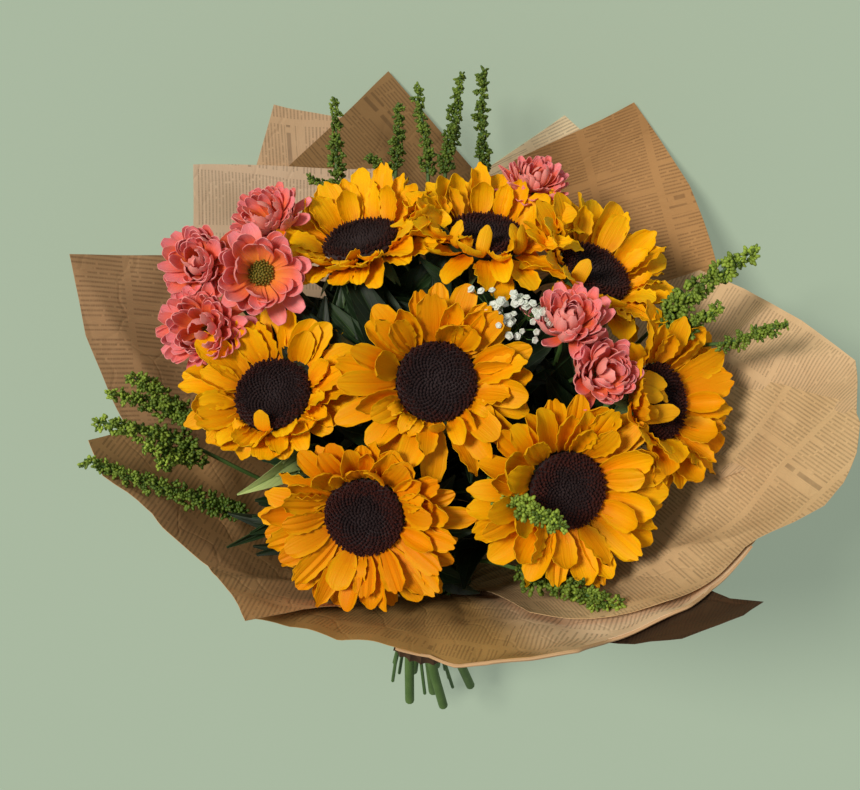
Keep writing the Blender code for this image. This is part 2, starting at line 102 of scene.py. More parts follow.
def added(add, name, **settings):
    """Add an object with one of Blender's own Add tools, nothing else selected, and name it."""
    bpy.ops.object.select_all(action="DESELECT")
    add(**settings)
    piece = bpy.context.active_object
    piece.name = name
    return piece


camera = added(bpy.ops.object.camera_add, "camera", rotation=(math.radians(-VIEW_TILT), 0, 0))
towards_camera = camera.rotation_euler.to_matrix() @ Vector((0, 0, 1))
camera.location = VIEW_AIM + towards_camera * VIEW_DISTANCE
camera.data.sensor_width = 36
camera.data.lens = camera.data.sensor_width * VIEW_DISTANCE / VIEW_WIDTH
bpy.context.scene.camera = camera
bpy.context.scene.view_settings.view_transform = "Standard"
print("camera at", [round(c, 3) for c in camera.location], "lens", round(camera.data.lens, 1), "mm")

# %% Lamps and surroundings
KEY_FROM = Vector((-0.50, 0.52, 0.69)).normalized()
KEY_STRENGTH, KEY_SPREAD, SKY_STRENGTH = 2.55, 15, 0.30

key_lamp = added(bpy.ops.object.light_add, "key_lamp", type="SUN", location=VIEW_AIM + KEY_FROM)
key_lamp.rotation_euler = KEY_FROM.to_track_quat("Z", "Y").to_euler()
key_lamp.data.angle = math.radians(KEY_SPREAD)
key_lamp.data.energy = KEY_STRENGTH
key_lamp.data.color = (1.0, 0.93, 0.83)
surroundings = bpy.data.worlds.new("surroundings")
surroundings.use_nodes = True
background = surroundings.node_tree.nodes["Background"].inputs
background["Color"].default_value = (0.93, 0.97, 1.0, 1)
background["Strength"].default_value = SKY_STRENGTH
bpy.context.scene.world = surroundings
print("key lamp", round(math.degrees(math.asin(KEY_FROM.z))), "degrees above the table")

# %% [markdown]
# ## A short way to write materials
# A material in Blender is a net of nodes. Writing one takes many lines, so these two small classes
# make a node, feed its sockets with numbers, colours or other nodes' outputs, and hand its output
# back. Outputs can be added, multiplied and compared like numbers: each sign adds one math node.

# %% Value: the output of a node


class Value:
    """A node's output. A sum such as a * 0.5 + b adds the math nodes that it needs."""

    def __init__(self, recipe, socket):
        self.recipe, self.socket = recipe, socket

    def math(self, operation, *others):
        inputs = dict(enumerate((self, *others)))
        return self.recipe.node("ShaderNodeMath", 0, inputs, operation=operation)

    def __add__(self, other):
        return self.math("ADD", other)

    def __sub__(self, other):
        return self.math("SUBTRACT", other)

    def __mul__(self, other):
        return self.math("MULTIPLY", other)

    def __truediv__(self, other):
        return self.math("DIVIDE", other)

    def __lt__(self, other):
        return self.math("LESS_THAN", other)

    def __gt__(self, other):
        return self.math("GREATER_THAN", other)

    def __abs__(self):
        return self.math("ABSOLUTE")

    def range(self, low, high, to_low=0.0, to_high=1.0):
        """The stretch from low to high, mapped onto another stretch."""
        return self.recipe.node("ShaderNodeMapRange", 0, {0: self, 1: low, 2: high, 3: to_low, 4: to_high})

    def mix(self, a, b):
        """Colour a where this output is 0 and colour b where it is 1."""
        return self.recipe.node("ShaderNodeMix", 2, {0: self, 6: a, 7: b}, data_type="RGBA")


print("Value ready")

# %% Recipe: a material put together from nodes


class Recipe:
    """A material being put together: each call adds a node and returns its output."""

    def __init__(self, name, **sockets):
        self.material = bpy.data.materials.new(name)
        self.material.use_nodes = True
        self.tree = self.material.node_tree
        self.shader = self.tree.nodes["Principled BSDF"]
        self.set(**sockets)

    def feed(self, socket, value):
        if isinstance(value, Value):
            self.tree.links.new(value.socket, socket)
        elif isinstance(value, tuple) and len(value) == 3 and socket.type == "RGBA":
            socket.default_value = (*value, 1)
        else:
            socket.default_value = value

    def set(self, **sockets):
        """Feed the shader's own sockets, written as base_color or subsurface_weight."""
        named = {s.name.lower().replace(" ", "_"): s for s in self.shader.inputs}
        for name, value in sockets.items():
            self.feed(named[name], value)

    def node(self, kind, output, inputs, **settings):
        made = self.tree.nodes.new(kind)
        for name, value in settings.items():
            setattr(made, name, value)
        for key, value in inputs.items():
            self.feed(made.inputs[key], value)
        return Value(self, made.outputs[output])

    def place(self):
        return self.node("ShaderNodeTexCoord", "Object", {})

    def sheet_place(self, layer):
        return self.node("ShaderNodeUVMap", 0, {}, uv_map=layer)

    def parts(self, vector):
        """The first two coordinates of a place."""
        return [self.node("ShaderNodeSeparateXYZ", axis, {0: vector}) for axis in (0, 1)]

    def join(self, x, y, z=0.0):
        return self.node("ShaderNodeCombineXYZ", 0, {0: x, 1: y, 2: z})

    def value_of(self, name):
        return self.node("ShaderNodeAttribute", "Fac", {}, attribute_name=name)

    def noise(self, vector, scale, detail=2.0):
        return self.node("ShaderNodeTexNoise", 0, {"Vector": vector, "Scale": scale, "Detail": detail})

    def streaks(self, detail, x, y, z=0.0):
        """Noise that is drawn out, because each direction has a scale of its own."""
        return self.noise(self.join(x, y, z), 1.0, detail)

    def hash(self, x, y):
        return self.node("ShaderNodeTexWhiteNoise", "Value", {0: self.join(x, y)}, noise_dimensions="2D")

    def bump(self, height, strength, distance):
        self.set(normal=self.node("ShaderNodeBump", 0, {
            "Height": height, "Strength": strength, "Distance": distance}))


print("Recipe ready")

# %% A finish of two mixed colours


def speckled(name, grain_scale, detail, full_at, dark, light, relief, depth, **sockets):
    """A finish of two colours mixed by a fine grain, which also roughens it."""
    finish = Recipe(name, **sockets)
    grain = finish.noise(finish.place(), grain_scale, detail)
    finish.set(base_color=grain.range(0.3, full_at).mix(dark, light))
    if relief:
        finish.bump(grain, relief, depth)
    return finish.material


print("speckled ready")

# %% Table top
TABLE_GLOW = 0.46
table = Recipe("table_paint", roughness=0.85, specular_ior_level=0.25)
table_cloud = table.noise(table.place(), 3.0)
table.set(base_color=table_cloud.mix((0.25, 0.32, 0.245), (0.26, 0.33, 0.255)),
          emission_color=(0.397, 0.479, 0.352), emission_strength=TABLE_GLOW)
table.bump(table.noise(table.place(), 900.0), 0.05, 0.0004)

table_top = added(bpy.ops.mesh.primitive_plane_add, "table_top", size=9, location=(0, 0, 0))
table_top.data.materials.append(table.material)
print("table", table_top.dimensions.x, "m wide")

# %% [markdown]
# ## Tools for modelling
# A petal, a bud or a leaf is modelled once with Blender's own tools: a primitive is added, its rows
# and columns are selected, and they are moved, scaled and turned. `gather` then lays a copy of the
# finished shape at every place in the list and joins the copies, which is what Duplicate and Join
# would do by hand, and it notes a tone for each copy so that no two have quite the same colour. On
# leaves, spike buds and petals the tone also carries painted light and shade.

# %% Selecting and editing


def only(*pieces):
    """Deselect everything, then select these pieces and make the first one active."""
    bpy.ops.object.select_all(action="DESELECT")
    for piece in pieces:
        piece.select_set(True)
    bpy.context.view_layer.objects.active = pieces[0]


def open_to_edit(piece):
    """Go into edit mode with every point selected."""
    only(piece)
    bpy.ops.object.mode_set(mode="EDIT")
    bpy.ops.mesh.select_mode(type="VERT")
    bpy.ops.mesh.select_all(action="SELECT")


def select_points(piece, test):
    """In edit mode, select exactly the points that pass the test."""
    bpy.ops.mesh.select_all(action="DESELECT")
    points = bmesh.from_edit_mesh(piece.data)
    for point in points.verts:
        point.select = test(point)
    points.select_flush(True)
    bmesh.update_edit_mesh(piece.data)


def close_edit():
    bpy.ops.object.mode_set(mode="OBJECT")


def apply_modifier(piece, kind, **settings):
    only(piece)
    made = piece.modifiers.new(kind.lower(), kind)
    for name, value in settings.items():
        setattr(made, name, value)
    bpy.ops.object.modifier_apply(modifier=made.name)


def shade_smooth(piece, angle):
    """Shade smoothly over every edge that bends by less than this angle, in degrees."""
    only(piece)
    bpy.ops.object.shade_smooth_by_angle(angle=math.radians(angle))


print("editing tools ready")

# %% Joining, noting and handing over


def join_pieces(name, *pieces):
    """Join pieces into the first one."""
    only(*pieces)
    bpy.ops.object.join()
    pieces[0].name = name
    return pieces[0]


def note(piece, name, values):
    """Keep a number at each point of a piece, for its material to read."""
    piece.data.attributes.new(name, "FLOAT", "POINT").data.foreach_set("value", values)


def hand_over(piece, finish, slot, *nodes):
    """Give a piece its finish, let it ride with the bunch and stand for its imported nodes."""
    piece.data.materials.clear()
    piece.data.materials.append(finish)
    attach(piece, "root")
    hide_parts(*nodes)


obstacles = []


def keep_clear_of(owner, piece, every):
    """Note places on a piece, one point in so many, that later petals keep away from."""
    obstacles.append((owner, np.array([v.co for v in piece.data.vertices][::every])))


print("modelling tools ready")

# %% Gathering copies of a shape into one piece
shape_cache = {}


def shape_of(pattern):
    """A modelled shape as arrays: its points, faces, UVs, and which points are on its underside."""
    if pattern.name not in shape_cache:
        mesh = pattern.data
        points = np.array([v.co for v in mesh.vertices])
        faces = [tuple(p.vertices) for p in mesh.polygons]
        uvs = np.array([d.uv for d in mesh.uv_layers[0].data]) if mesh.uv_layers else None
        under = np.arange(len(points)) >= len(points) / 2
        shape_cache[pattern.name] = (points, faces, uvs, under.astype(float))
    return shape_cache[pattern.name]


def gather(name, placed, smooth_angle=50):
    """One mesh that holds a copy of a pattern at every place: (pattern, matrix, tone)."""
    points, faces, uvs, tones, unders = [], [], [], [], []
    count = 0
    for pattern, matrix, tone in placed:
        shape, shape_faces, shape_uvs, under = shape_of(pattern)
        turn = np.array(matrix)
        points.append(shape @ turn[:3, :3].T + turn[:3, 3])
        faces += [tuple(count + i for i in face) for face in shape_faces]
        uvs.append(shape_uvs)
        tones.append(np.full(len(shape), tone))
        unders.append(under)
        count += len(shape)
    mesh = bpy.data.meshes.new(name)
    mesh.from_pydata(np.concatenate(points).tolist(), [], faces)
    piece = bpy.data.objects.new(name, mesh)
    bpy.context.collection.objects.link(piece)
    note(piece, "tone", np.concatenate(tones))
    note(piece, "under", np.concatenate(unders))
    if uvs[0] is not None:
        mesh.uv_layers.new(name="shape").data.foreach_set("uv", np.concatenate(uvs).ravel())
    shade_smooth(piece, smooth_angle)
    return piece


def set_out(name, placed, finish, slot, node, owner=None, every=2, smooth_angle=50):
    """Gather copies into a piece, hand it over and, for its owner, keep later petals clear of it."""
    piece = gather(name, placed, smooth_angle)
    hand_over(piece, finish, slot, node)
    if owner:
        keep_clear_of(owner, piece, every)
    return piece


def wobble(size):
    """A random number from -size to size."""
    return chance.uniform(-size, size)


print("gather ready")

# %% Modelling a thin blade: the start of every petal and leaf
patterns = []


def blade(name, length, width, outline, profile, curl, twist=0.0, tip=None, ruffle=0.0, thickness=0.35):
    """A petal or leaf along +Y. The rows are drawn in to the outline, the columns are lifted to the
    profile, the tip is rounded or notched by pulling its points back, the edges are ruffled, and
    then each row is turned on the one before, so that the blade curls and twists."""
    across, rows = len(profile) - 1, len(outline) - 1
    in_row = across + 1
    piece = added(bpy.ops.mesh.primitive_grid_add, name, x_subdivisions=across, y_subdivisions=rows,
                  size=1, location=(0, 0.5, 0))
    bpy.ops.object.transform_apply(location=True)
    open_to_edit(piece)
    bpy.ops.transform.resize(value=(width * MM, length * MM, 1), center_override=(0, 0, 0))
    for column, lift in enumerate(profile):
        select_points(piece, lambda p: p.index % in_row == column)
        bpy.ops.transform.translate(value=(0, 0, lift * MM))
    for row, share in enumerate(outline):
        select_points(piece, lambda p: p.index // in_row == row)
        bpy.ops.transform.resize(value=(share, 1, share), center_override=(0, row / rows * length * MM, 0))
    for column, pull in enumerate(tip or ()):
        for row, part in ((rows, 1), (rows - 1, 0.35)):
            select_points(piece, lambda p: p.index == row * in_row + column)
            bpy.ops.transform.translate(value=(0, -pull * part * MM, 0))
    for row in range(2, rows):
        for column, side in ((0, 1), (across, -1)):
            select_points(piece, lambda p: p.index == row * in_row + column)
            bpy.ops.transform.translate(value=(0, 0, side * (-1) ** row * ruffle * MM))
    for row in range(rows):
        points = bmesh.from_edit_mesh(piece.data).verts
        points.ensure_lookup_table()
        pivot = points[row * in_row + across // 2].co.copy()
        select_points(piece, lambda p: p.index // in_row > row)
        bpy.ops.transform.rotate(value=-math.radians(curl[row]), orient_axis="X", center_override=pivot)
        bpy.ops.transform.rotate(value=math.radians(twist / rows), orient_axis="Y", center_override=pivot)
    close_edit()
    apply_modifier(piece, "SOLIDIFY", thickness=thickness * MM, offset=0)
    piece.data.uv_layers[0].name = "shape"
    patterns.append(piece)
    return piece


print("blade ready")

# %% [markdown]
# ## Newsprint sheets
# Ten cut sheets of brown newsprint stand round the stems like a loose cone: gathered in small pleats
# at the tie, wide open at the rim, and flat on the table at the back. Paper bends but does not
# stretch, so each sheet starts as a flat grid whose columns run up the cone and whose rows run
# round it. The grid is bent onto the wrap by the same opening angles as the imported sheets, and
# then gets its pleats, waves and creases, which only push it in or out.

# %% Shape of the wrap
NECK_RADIUS, NECK_ARC = 36.0, 50.0
OPEN_MEAN, OPEN_TILT, OPEN_SIDES = 43.6, 7.75, 2.9
PAPER_TAIL, TAIL_FLARE = 40.0, 0.25
TIE_HEIGHT = 10.0
LAYER_STEP = 2.0
TABLE_EASE = 10.0
BUNCH_TURN = np.array(WORLD_FROM_BUNCH.to_3x3())
BUNCH_PLACE = np.array(WORLD_FROM_BUNCH.translation)


def smooth(value, low, high):
    """Eases from 0 at low to 1 at high."""
    share = np.clip((value - low) / (high - low), 0, 1)
    return share * share * (3 - 2 * share)


def wrap_points(angle, slant, layer, push):
    """Places on the wrap, in metres: angle round the bunch in radians, slant up from the tie,
    layer counted inwards, and how far waves push the paper inwards."""
    lean = np.radians(OPEN_MEAN + OPEN_TILT * np.sin(angle) + OPEN_SIDES * np.cos(2 * angle))
    curve = lean / NECK_ARC
    beyond = np.maximum(slant - TIE_HEIGHT / 2, 0)
    arc = np.minimum(beyond, NECK_ARC)
    turned = curve * arc
    tail = np.maximum(-TIE_HEIGHT / 2 - slant, 0)
    out = NECK_RADIUS + (1 - np.cos(turned)) / curve + (beyond - arc) * np.sin(lean) + TAIL_FLARE * tail
    rise = np.minimum(slant, TIE_HEIGHT / 2) + np.sin(turned) / curve + (beyond - arc) * np.cos(lean)
    inset = layer * LAYER_STEP + push
    out -= inset * np.cos(turned)
    rise += inset * np.sin(turned)
    places = np.stack((out * np.cos(angle), out * np.sin(angle), rise), axis=-1) * MM
    places = places @ BUNCH_TURN.T + BUNCH_PLACE
    level = layer * LAYER_STEP + np.maximum(push, 0)
    height = places[..., 2] / MM
    near = np.maximum(TABLE_EASE - abs(height - level), 0)
    places[..., 2] = (np.maximum(height, level) + near * near / (4 * TABLE_EASE)) * MM
    return places


print("wrap opens", OPEN_MEAN, "degrees on average")

# %% Pleats, waves and creases
PLEATS = 13
# the trumpet: depth, side of the bunch in degrees, and the slants between which it reaches
TRUMPET_DEPTH, TRUMPET_SIDE, TRUMPET_FOOT, TRUMPET_RIM = 26, 272, 20, 285
CREASES, CREASE_DEPTH = 7, 2.2
TOP_LAYER = 4


def shared_push(angle, slant):
    """Forms that all layers share: pleats at the neck, a trumpet at the front, waves at the rim."""
    neck = 0.3 + 2.0 * smooth(slant, 8, 34) * (1 - smooth(slant, 60, 150)) + 2.4 * smooth(-slant, 8, 38)
    pleats = neck * np.abs(np.sin(PLEATS * angle + 0.8 * np.sin(3 * angle))) ** 0.7
    front = np.maximum(np.cos(angle - math.radians(TRUMPET_SIDE)), 0) ** 1.5
    up = np.clip((slant - TRUMPET_FOOT) / (TRUMPET_RIM - TRUMPET_FOOT), 0, 1)
    waves = 3.4 * np.sin(5 * angle + 0.9) + 2.2 * np.sin(11 * angle - 0.6 + slant / 90)
    waves += 1.2 * np.sin(19 * angle + 2.0 - slant / 60)
    return pleats + TRUMPET_DEPTH * front * np.sin(math.pi * up) + smooth(slant, 110, 360) * waves


def crease_push(layer, x, y, seed):
    """Creases of one sheet, kept small enough to stay clear of the sheets it lies on."""
    sheet_chance = random.Random(seed)
    total = np.zeros_like(x)
    for _ in range(CREASES):
        turn = sheet_chance.uniform(0, math.pi)
        pitch = sheet_chance.uniform(38, 95)
        across = x * math.cos(turn) + y * math.sin(turn)
        bend = 14 * np.sin((x * math.sin(turn) - y * math.cos(turn)) / sheet_chance.uniform(60, 120))
        fold = np.abs(((across + bend) / pitch + sheet_chance.random()) % 1 - 0.5) * 2
        total += sheet_chance.uniform(-1, 1) * (fold - 0.5)
    total = np.clip(total, -1, 1)
    share = layer / TOP_LAYER
    inwards_and_out = share * np.maximum(total, 0) + (1 - share) * np.minimum(total, 0)
    return CREASE_DEPTH * inwards_and_out * smooth(y, 90, 190)


print("pleats, waves and creases ready")

# %% Outlines of the sheets
# name: (packed sheet, layer, print direction, line spacing in mm, unprinted margin in mm, tint,
#        corners as (angle round the bunch, slant reach))
# Each tint is partly the paper's own tone and partly painted light and shade: sheets facing away
# from the light are painted darker and warmer (2, 5, 6, 7, 9), sunlit ones paler (4, 8_upper, 8_lower).
SHEETS = {
    "1": ("1", 2, 154, 2.7, 0, (1.18, 1.28, 1.50), ((96, 342), (127.9, 380), (150, 258))),
    "2": ("2", 1, 30, 2.6, 0, (0.48, 0.41, 0.28), ((78, 320), (95.5, 424), (124, 330))),
    "3": ("3", 0, 160, 2.7, 0, (1.06, 1.06, 1.08), ((97, 382), (111.8, 409), (140, 270))),
    "4": ("4", 0, 130, 2.7, 0, (1.42, 1.70, 1.85), ((48, 346), (70.5, 396), (96, 290))),
    "5": ("5", 1.5, 134, 2.7, 0, (0.76, 0.60, 0.40), ((26, 318), (47.6, 375), (61.4, 418), (76.2, 352))),
    "6": ("6", 3, 41, 3.6, 0, (0.84, 0.72, 0.62), ((124, 294), (153, 385), (161.7, 341), (182, 256))),
    "7": ("7", 4, 50, 3.4, 0, (1.00, 0.84, 0.64),
          ((156, 246), (174, 288), (179.5, 314), (187, 306), (193, 270), (208, 246), (222, 270), (231, 292),
           (235, 242), (244, 205))),
    "8_upper": ("8", 3, 22, 2.7, 0, (1.10, 1.10, 1.06),
                ((-5, 382), (7, 387), (17.5, 364), (29, 342), (37.5, 328), (46, 282))),
    "8_lower": ("8", 3.5, 139, 2.7, 0, (1.10, 1.08, 0.96),
                ((-62, 240), (-48.5, 276), (-40, 304), (-33.5, 306), (-23, 312), (-21.5, 320),
                 (-19.5, 346), (-17.5, 367), (-14, 377), (-9, 383), (-4, 385), (0, 380), (8, 338),
                 (18, 300), (24, 236))),
    "9": ("9", 1, 150, 3.4, 10, (0.72, 0.61, 0.34),
          ((214, 236), (229.5, 268), (237, 254), (249.5, 254), (263, 264), (270, 268), (275.5, 286),
           (281, 302), (288.5, 312), (297, 318), (305.5, 296), (312.5, 304), (319.5, 316),
           (327, 306), (339.5, 313), (350, 270))),
    # Sheet 10's near-black tint is mainly painted shade.
    "10": ("10", -0.8, 150, 2.7, 0, (0.115, 0.085, 0.066),
           ((226, 214), (250, 222), (274, 226), (300, 246), (306, 288), (309, 324), (311, 348),
            (315.5, 362), (318.5, 370), (323, 366), (324.5, 330), (330, 280), (340, 250))),
}
print(len(SHEETS), "sheets, the longest reaches", max(r for s in SHEETS.values() for _, r in s[6]), "mm")

# %% Straight-cut edges
# Laid flat, the wrap is a fan: its angles shrink to this share, round a point below the tie.
FLAT_RATIO, FLAT_CENTRE = 0.68, 45


def reach_at(outline, angle):
    """Slant reach of a sheet's straight-cut edge, measured on the sheet laid flat."""
    for (a, ra), (b, rb) in zip(outline[:-1], outline[1:]):
        if a <= angle <= b:
            whole = math.radians((b - a) * FLAT_RATIO)
            left = math.radians((b - angle) * FLAT_RATIO)
            right = math.radians((angle - a) * FLAT_RATIO)
            return ra * rb * math.sin(whole) / (ra * math.sin(right) + rb * math.sin(left))
    return outline[-1][1]


def column_angles(outline, columns):
    """Evenly spaced angles, the nearest one moved onto each corner so that corners stay sharp."""
    angles = np.linspace(outline[0][0], outline[-1][0], columns + 1)
    for corner, _ in outline[1:-1]:
        angles[np.argmin(abs(angles - corner))] = corner
    return angles


print("sheet 3 reaches", round(reach_at(SHEETS["3"][6], 120)), "mm at 120 degrees")

# %% Buckles
# Buckles that a sheet has by itself: angle, slant, direction on the flat sheet, width, length, depth
BUCKLES = {
    "8_upper": ((22, 318, 8, 9, 46, 9), (27, 300, 38, 8, 38, -1.5), (14, 335, -30, 14, 60, 7)),
    "8_lower": ((6, 330, 62, 16, 70, 6), (-12, 300, 80, 22, 80, -5), (-24, 250, 20, 16, 60, 6)),
    "5": ((48, 330, 20, 20, 70, 1.5),),
    "6": ((158, 320, -20, 24, 80, 6), (170, 262, 30, 18, 60, 5)),
    "7": ((188, 262, 20, 18, 60, 6), (222, 200, -30, 16, 60, 5)),
}


def buckle_push(buckles, start, end, x, y):
    """Ridges pressed into one sheet, in or out."""
    total = np.zeros_like(x)
    for angle, slant, turn, width, length, depth in buckles:
        place = math.radians((angle - (start + end) / 2) * FLAT_RATIO)
        off_x = x - (slant + FLAT_CENTRE) * math.sin(place)
        off_y = y - (slant + FLAT_CENTRE) * math.cos(place)
        turn = place + math.radians(turn)
        along = off_x * math.sin(turn) + off_y * math.cos(turn)
        across = abs(off_x * math.cos(turn) - off_y * math.sin(turn))
        total += depth * np.maximum(1 - across / (width * 1.6), 0) ** 1.3 * np.exp(-(along / length) ** 2)
    return total


print(sum(len(ridges) for ridges in BUCKLES.values()), "buckles on", len(BUCKLES), "sheets")

# %% Bending a sheet
GRID_STEP = 5.0
PAPER_THICK = 0.3
# Angles between which a sheet is painted lighter: painted sunlight on the front sheet
PAINTED_LIGHT_SPAN = {"9": (284, 306)}


def thicken_paper(piece, angle):
    apply_modifier(piece, "SOLIDIFY", thickness=PAPER_THICK * MM, offset=1)
    shade_smooth(piece, angle)


def paper_sheet(name, sheet):
    """One sheet: a grid bent onto the wrap, with its flat layout kept as UVs in metres."""
    _, layer, print_turn, _, margin, _, outline = SHEETS[sheet]
    start, end = outline[0][0], outline[-1][0]
    furthest = max(reach for _, reach in outline)
    width = math.radians(end - start) * 0.7 * furthest
    columns = round(width / GRID_STEP)
    rows = round((furthest + PAPER_TAIL) / GRID_STEP)
    piece = added(bpy.ops.mesh.primitive_grid_add, name, x_subdivisions=columns, y_subdivisions=rows, size=1)
    grid = np.empty(len(piece.data.vertices) * 3)
    piece.data.vertices.foreach_get("co", grid)
    grid = grid.reshape(-1, 3) + 0.5
    degrees = column_angles(outline, columns)[np.rint((1 - grid[:, 0]) * columns).astype(int)]
    reach = np.array([reach_at(outline, d) for d in degrees])
    slant = -PAPER_TAIL + (reach + PAPER_TAIL) * grid[:, 1]
    flat_turn = np.radians((degrees - (start + end) / 2) * FLAT_RATIO)
    flat_x = (slant + FLAT_CENTRE) * np.sin(flat_turn)
    flat_y = (slant + FLAT_CENTRE) * np.cos(flat_turn)
    angle = np.radians(degrees)
    push = shared_push(angle, slant) + crease_push(layer, flat_x, flat_y, sheet)
    push += buckle_push(BUCKLES.get(sheet, ()), start, end, flat_x, flat_y) * smooth(slant, 60, 160)
    piece.data.vertices.foreach_set("co", wrap_points(angle, slant, layer, push).ravel())

    along = math.radians(print_turn)
    print_u = flat_x * math.sin(along) + flat_y * math.cos(along)
    print_v = flat_x * math.cos(along) - flat_y * math.sin(along)
    corner = np.empty(len(piece.data.loops), int)
    piece.data.loops.foreach_get("vertex_index", corner)
    flat = np.stack((print_u, print_v), axis=-1)[corner] * MM
    piece.data.uv_layers[0].data.foreach_set("uv", flat.ravel())
    piece.data.uv_layers[0].name = "print"
    note(piece, "printed", reach - slant - margin)
    # This attribute marks where the paper is painted lighter, as painted sunlight
    note(piece, "fresh", smooth(degrees, *PAINTED_LIGHT_SPAN[sheet]) if sheet in PAINTED_LIGHT_SPAN else degrees * 0)
    keep_clear_of("paper", piece, 1)
    thicken_paper(piece, 35)
    return piece


print("sheets are bent from a grid of", GRID_STEP, "mm")

# %% [markdown]
# ### Printed kraft paper
# The real sheets are thin brown kraft paper printed all over with small grey-brown type. The type is
# greeked here: rows of uneven dashes, cut into columns and blocks with a few plain bolder bars where
# a headline would be, and no letters. The pattern is drawn in the sheet's flat layout, so it bends
# with the paper. Fibres, cloudy tone and a faint crease net keep the bare paper from looking flat.
# Each sheet's tint is partly its own tone and partly painted light and shade, and part of the front
# sheet's width is painted lighter: painted sunlight.

# %% Layout of the print and tint of the paper
COLUMN_WIDTH, PRINTED_HALF = 0.049, 0.44
BLOCK_HEIGHT, BLOCK_GAP = 0.105, 0.022
# how many strokes and words there are in a metre of line
STROKES, WORDS, BOLD_WORDS = 1500.0, 230.0, 90.0
BOLD_SIZE = 2.6


def kraft(tint, *colour):
    """A paper colour under one sheet's tint, which is partly painted light and shade."""
    return tuple(min(part * share, 0.95) for part, share in zip(colour, tint))


print("newsprint columns", COLUMN_WIDTH * 1000, "mm wide")

# %% Newsprint material


def newsprint(name, seed, tint, line_pitch):
    paper = Recipe(name, roughness=0.78, specular_ior_level=0.25)
    flat = paper.sheet_place("print")
    u, v = paper.parts(flat)
    u, v = u + 0.37 * seed, v + 0.23 * seed

    column = u / COLUMN_WIDTH
    column_number, in_column = column.math("FLOOR"), column.math("FRACT")
    in_print = abs(in_column - 0.5) < PRINTED_HALF

    block = (v + paper.hash(column_number, seed + 0.5) * 0.3) / BLOCK_HEIGHT
    block_number, in_block = block.math("FLOOR"), block.math("FRACT")
    block_kind = paper.hash(column_number, block_number)
    headline = in_block < block_kind.range(0.55, 0.95, 0.0, 0.10)
    off_gap = abs(in_block - 0.12) > BLOCK_GAP

    line = v / line_pitch
    line_number = line.math("FLOOR")
    along = u + paper.hash(line_number, column_number) * 0.4
    strokes = paper.streaks(1.0, along * STROKES, line_number)
    words = paper.streaks(0.0, along * WORDS, line_number)
    line_end = in_column < paper.hash(line_number, column_number + 7.7).range(0.85, 1.0, 1.0, 0.4)
    row_band = abs(line.math("FRACT") - 0.5).range(0.12, 0.30, 1.0, 0.0)
    type_mark = row_band * strokes.range(0.32, 0.55, 0.25, 1.0) * words.range(0.30, 0.36) * line_end

    bold_line = v / (line_pitch * BOLD_SIZE)
    bold_band = abs(bold_line.math("FRACT") - 0.5).range(0.20, 0.27, 1.0, 0.0)
    bold_words = paper.streaks(0.0, u * BOLD_WORDS, bold_line.math("FLOOR"))
    bold_mark = bold_band * bold_words.range(0.40, 0.43)

    mark = paper.node("ShaderNodeMix", 0, {0: headline, 2: type_mark, 3: bold_mark})
    mark = mark * off_gap * in_print * (paper.value_of("printed") > 0.0)
    worn = paper.noise(flat, 60.0, 3.0)
    ink = mark * worn.range(0.3, 0.7, 0.32, 0.56)

    cloud = paper.noise(flat, 14.0, 4.0)
    fibre = paper.noise(paper.node("ShaderNodeMapping", 0, {
        "Vector": flat, "Rotation": (0.0, 0.0, 0.6), "Scale": (220.0, 1500.0, 1.0)}), 1.0, 2.0)
    bare = cloud.range(0.3, 0.7).mix(kraft(tint, 0.57, 0.385, 0.215), kraft(tint, 0.67, 0.465, 0.275))
    bare = fibre.range(0.35, 0.75, 0.0, 0.25).mix(bare, kraft(tint, 0.44, 0.285, 0.155))
    # Painted sunlight: lighter paper where the attribute says so
    bare = (paper.value_of("fresh") * 0.85).mix(bare, (0.94, 0.70, 0.46))
    paper.set(base_color=ink.mix(bare, kraft(tint, 0.12, 0.075, 0.045)))
    wander = paper.node("ShaderNodeTexNoise", 1, {"Vector": flat, "Scale": 25.0})
    wavy = paper.node("ShaderNodeMix", 1, {0: 0.02, 4: flat, 5: wander}, data_type="VECTOR")
    crease = paper.node("ShaderNodeTexVoronoi", "Distance", {"Vector": wavy, "Scale": 26.0},
                        feature="DISTANCE_TO_EDGE")
    paper.bump(crease.range(0.0, 0.05) * 0.4 + (fibre * 0.12 + cloud * 0.9), 0.35, 0.0012)
    return paper.material


print("newsprint ready")

# %% Lay the sheets
for index, (sheet, (packed, _, _, line_pitch, _, tint, _)) in enumerate(SHEETS.items()):
    paper = paper_sheet("newsprint_" + sheet, sheet)
    printed = newsprint("newsprint_print_" + sheet, index + 1, tint, line_pitch * MM)
    hand_over(paper, printed, "newsprint", "paper_sheet_" + packed)
    print(paper.name, len(paper.data.polygons), "faces")

# %% [markdown]
# ### Turned-back hem
# Along the front rim the paper's plain edge is turned back over the outside. The hem is one more
# strip on the wrap: its first row lies just inside the rim, and the next rows roll over the edge and
# come down on the outside, narrower and narrower towards its ends.

# %% Hem of the front sheet
HEM_START, HEM_END, HEM_DEPTH = 262.0, 338.0, 17.0
HEM_COLUMNS = 76
# row: (how far past the rim, how far inwards); from the fifth row on, in shares of the hem's depth
HEM_ROWS = ((-1.0, 0.0), (0.6, -0.4), (0.9, -1.1), (0.2, -1.8), (-0.25, -2.3), (-0.6, -2.6), (-1.0, -2.8))

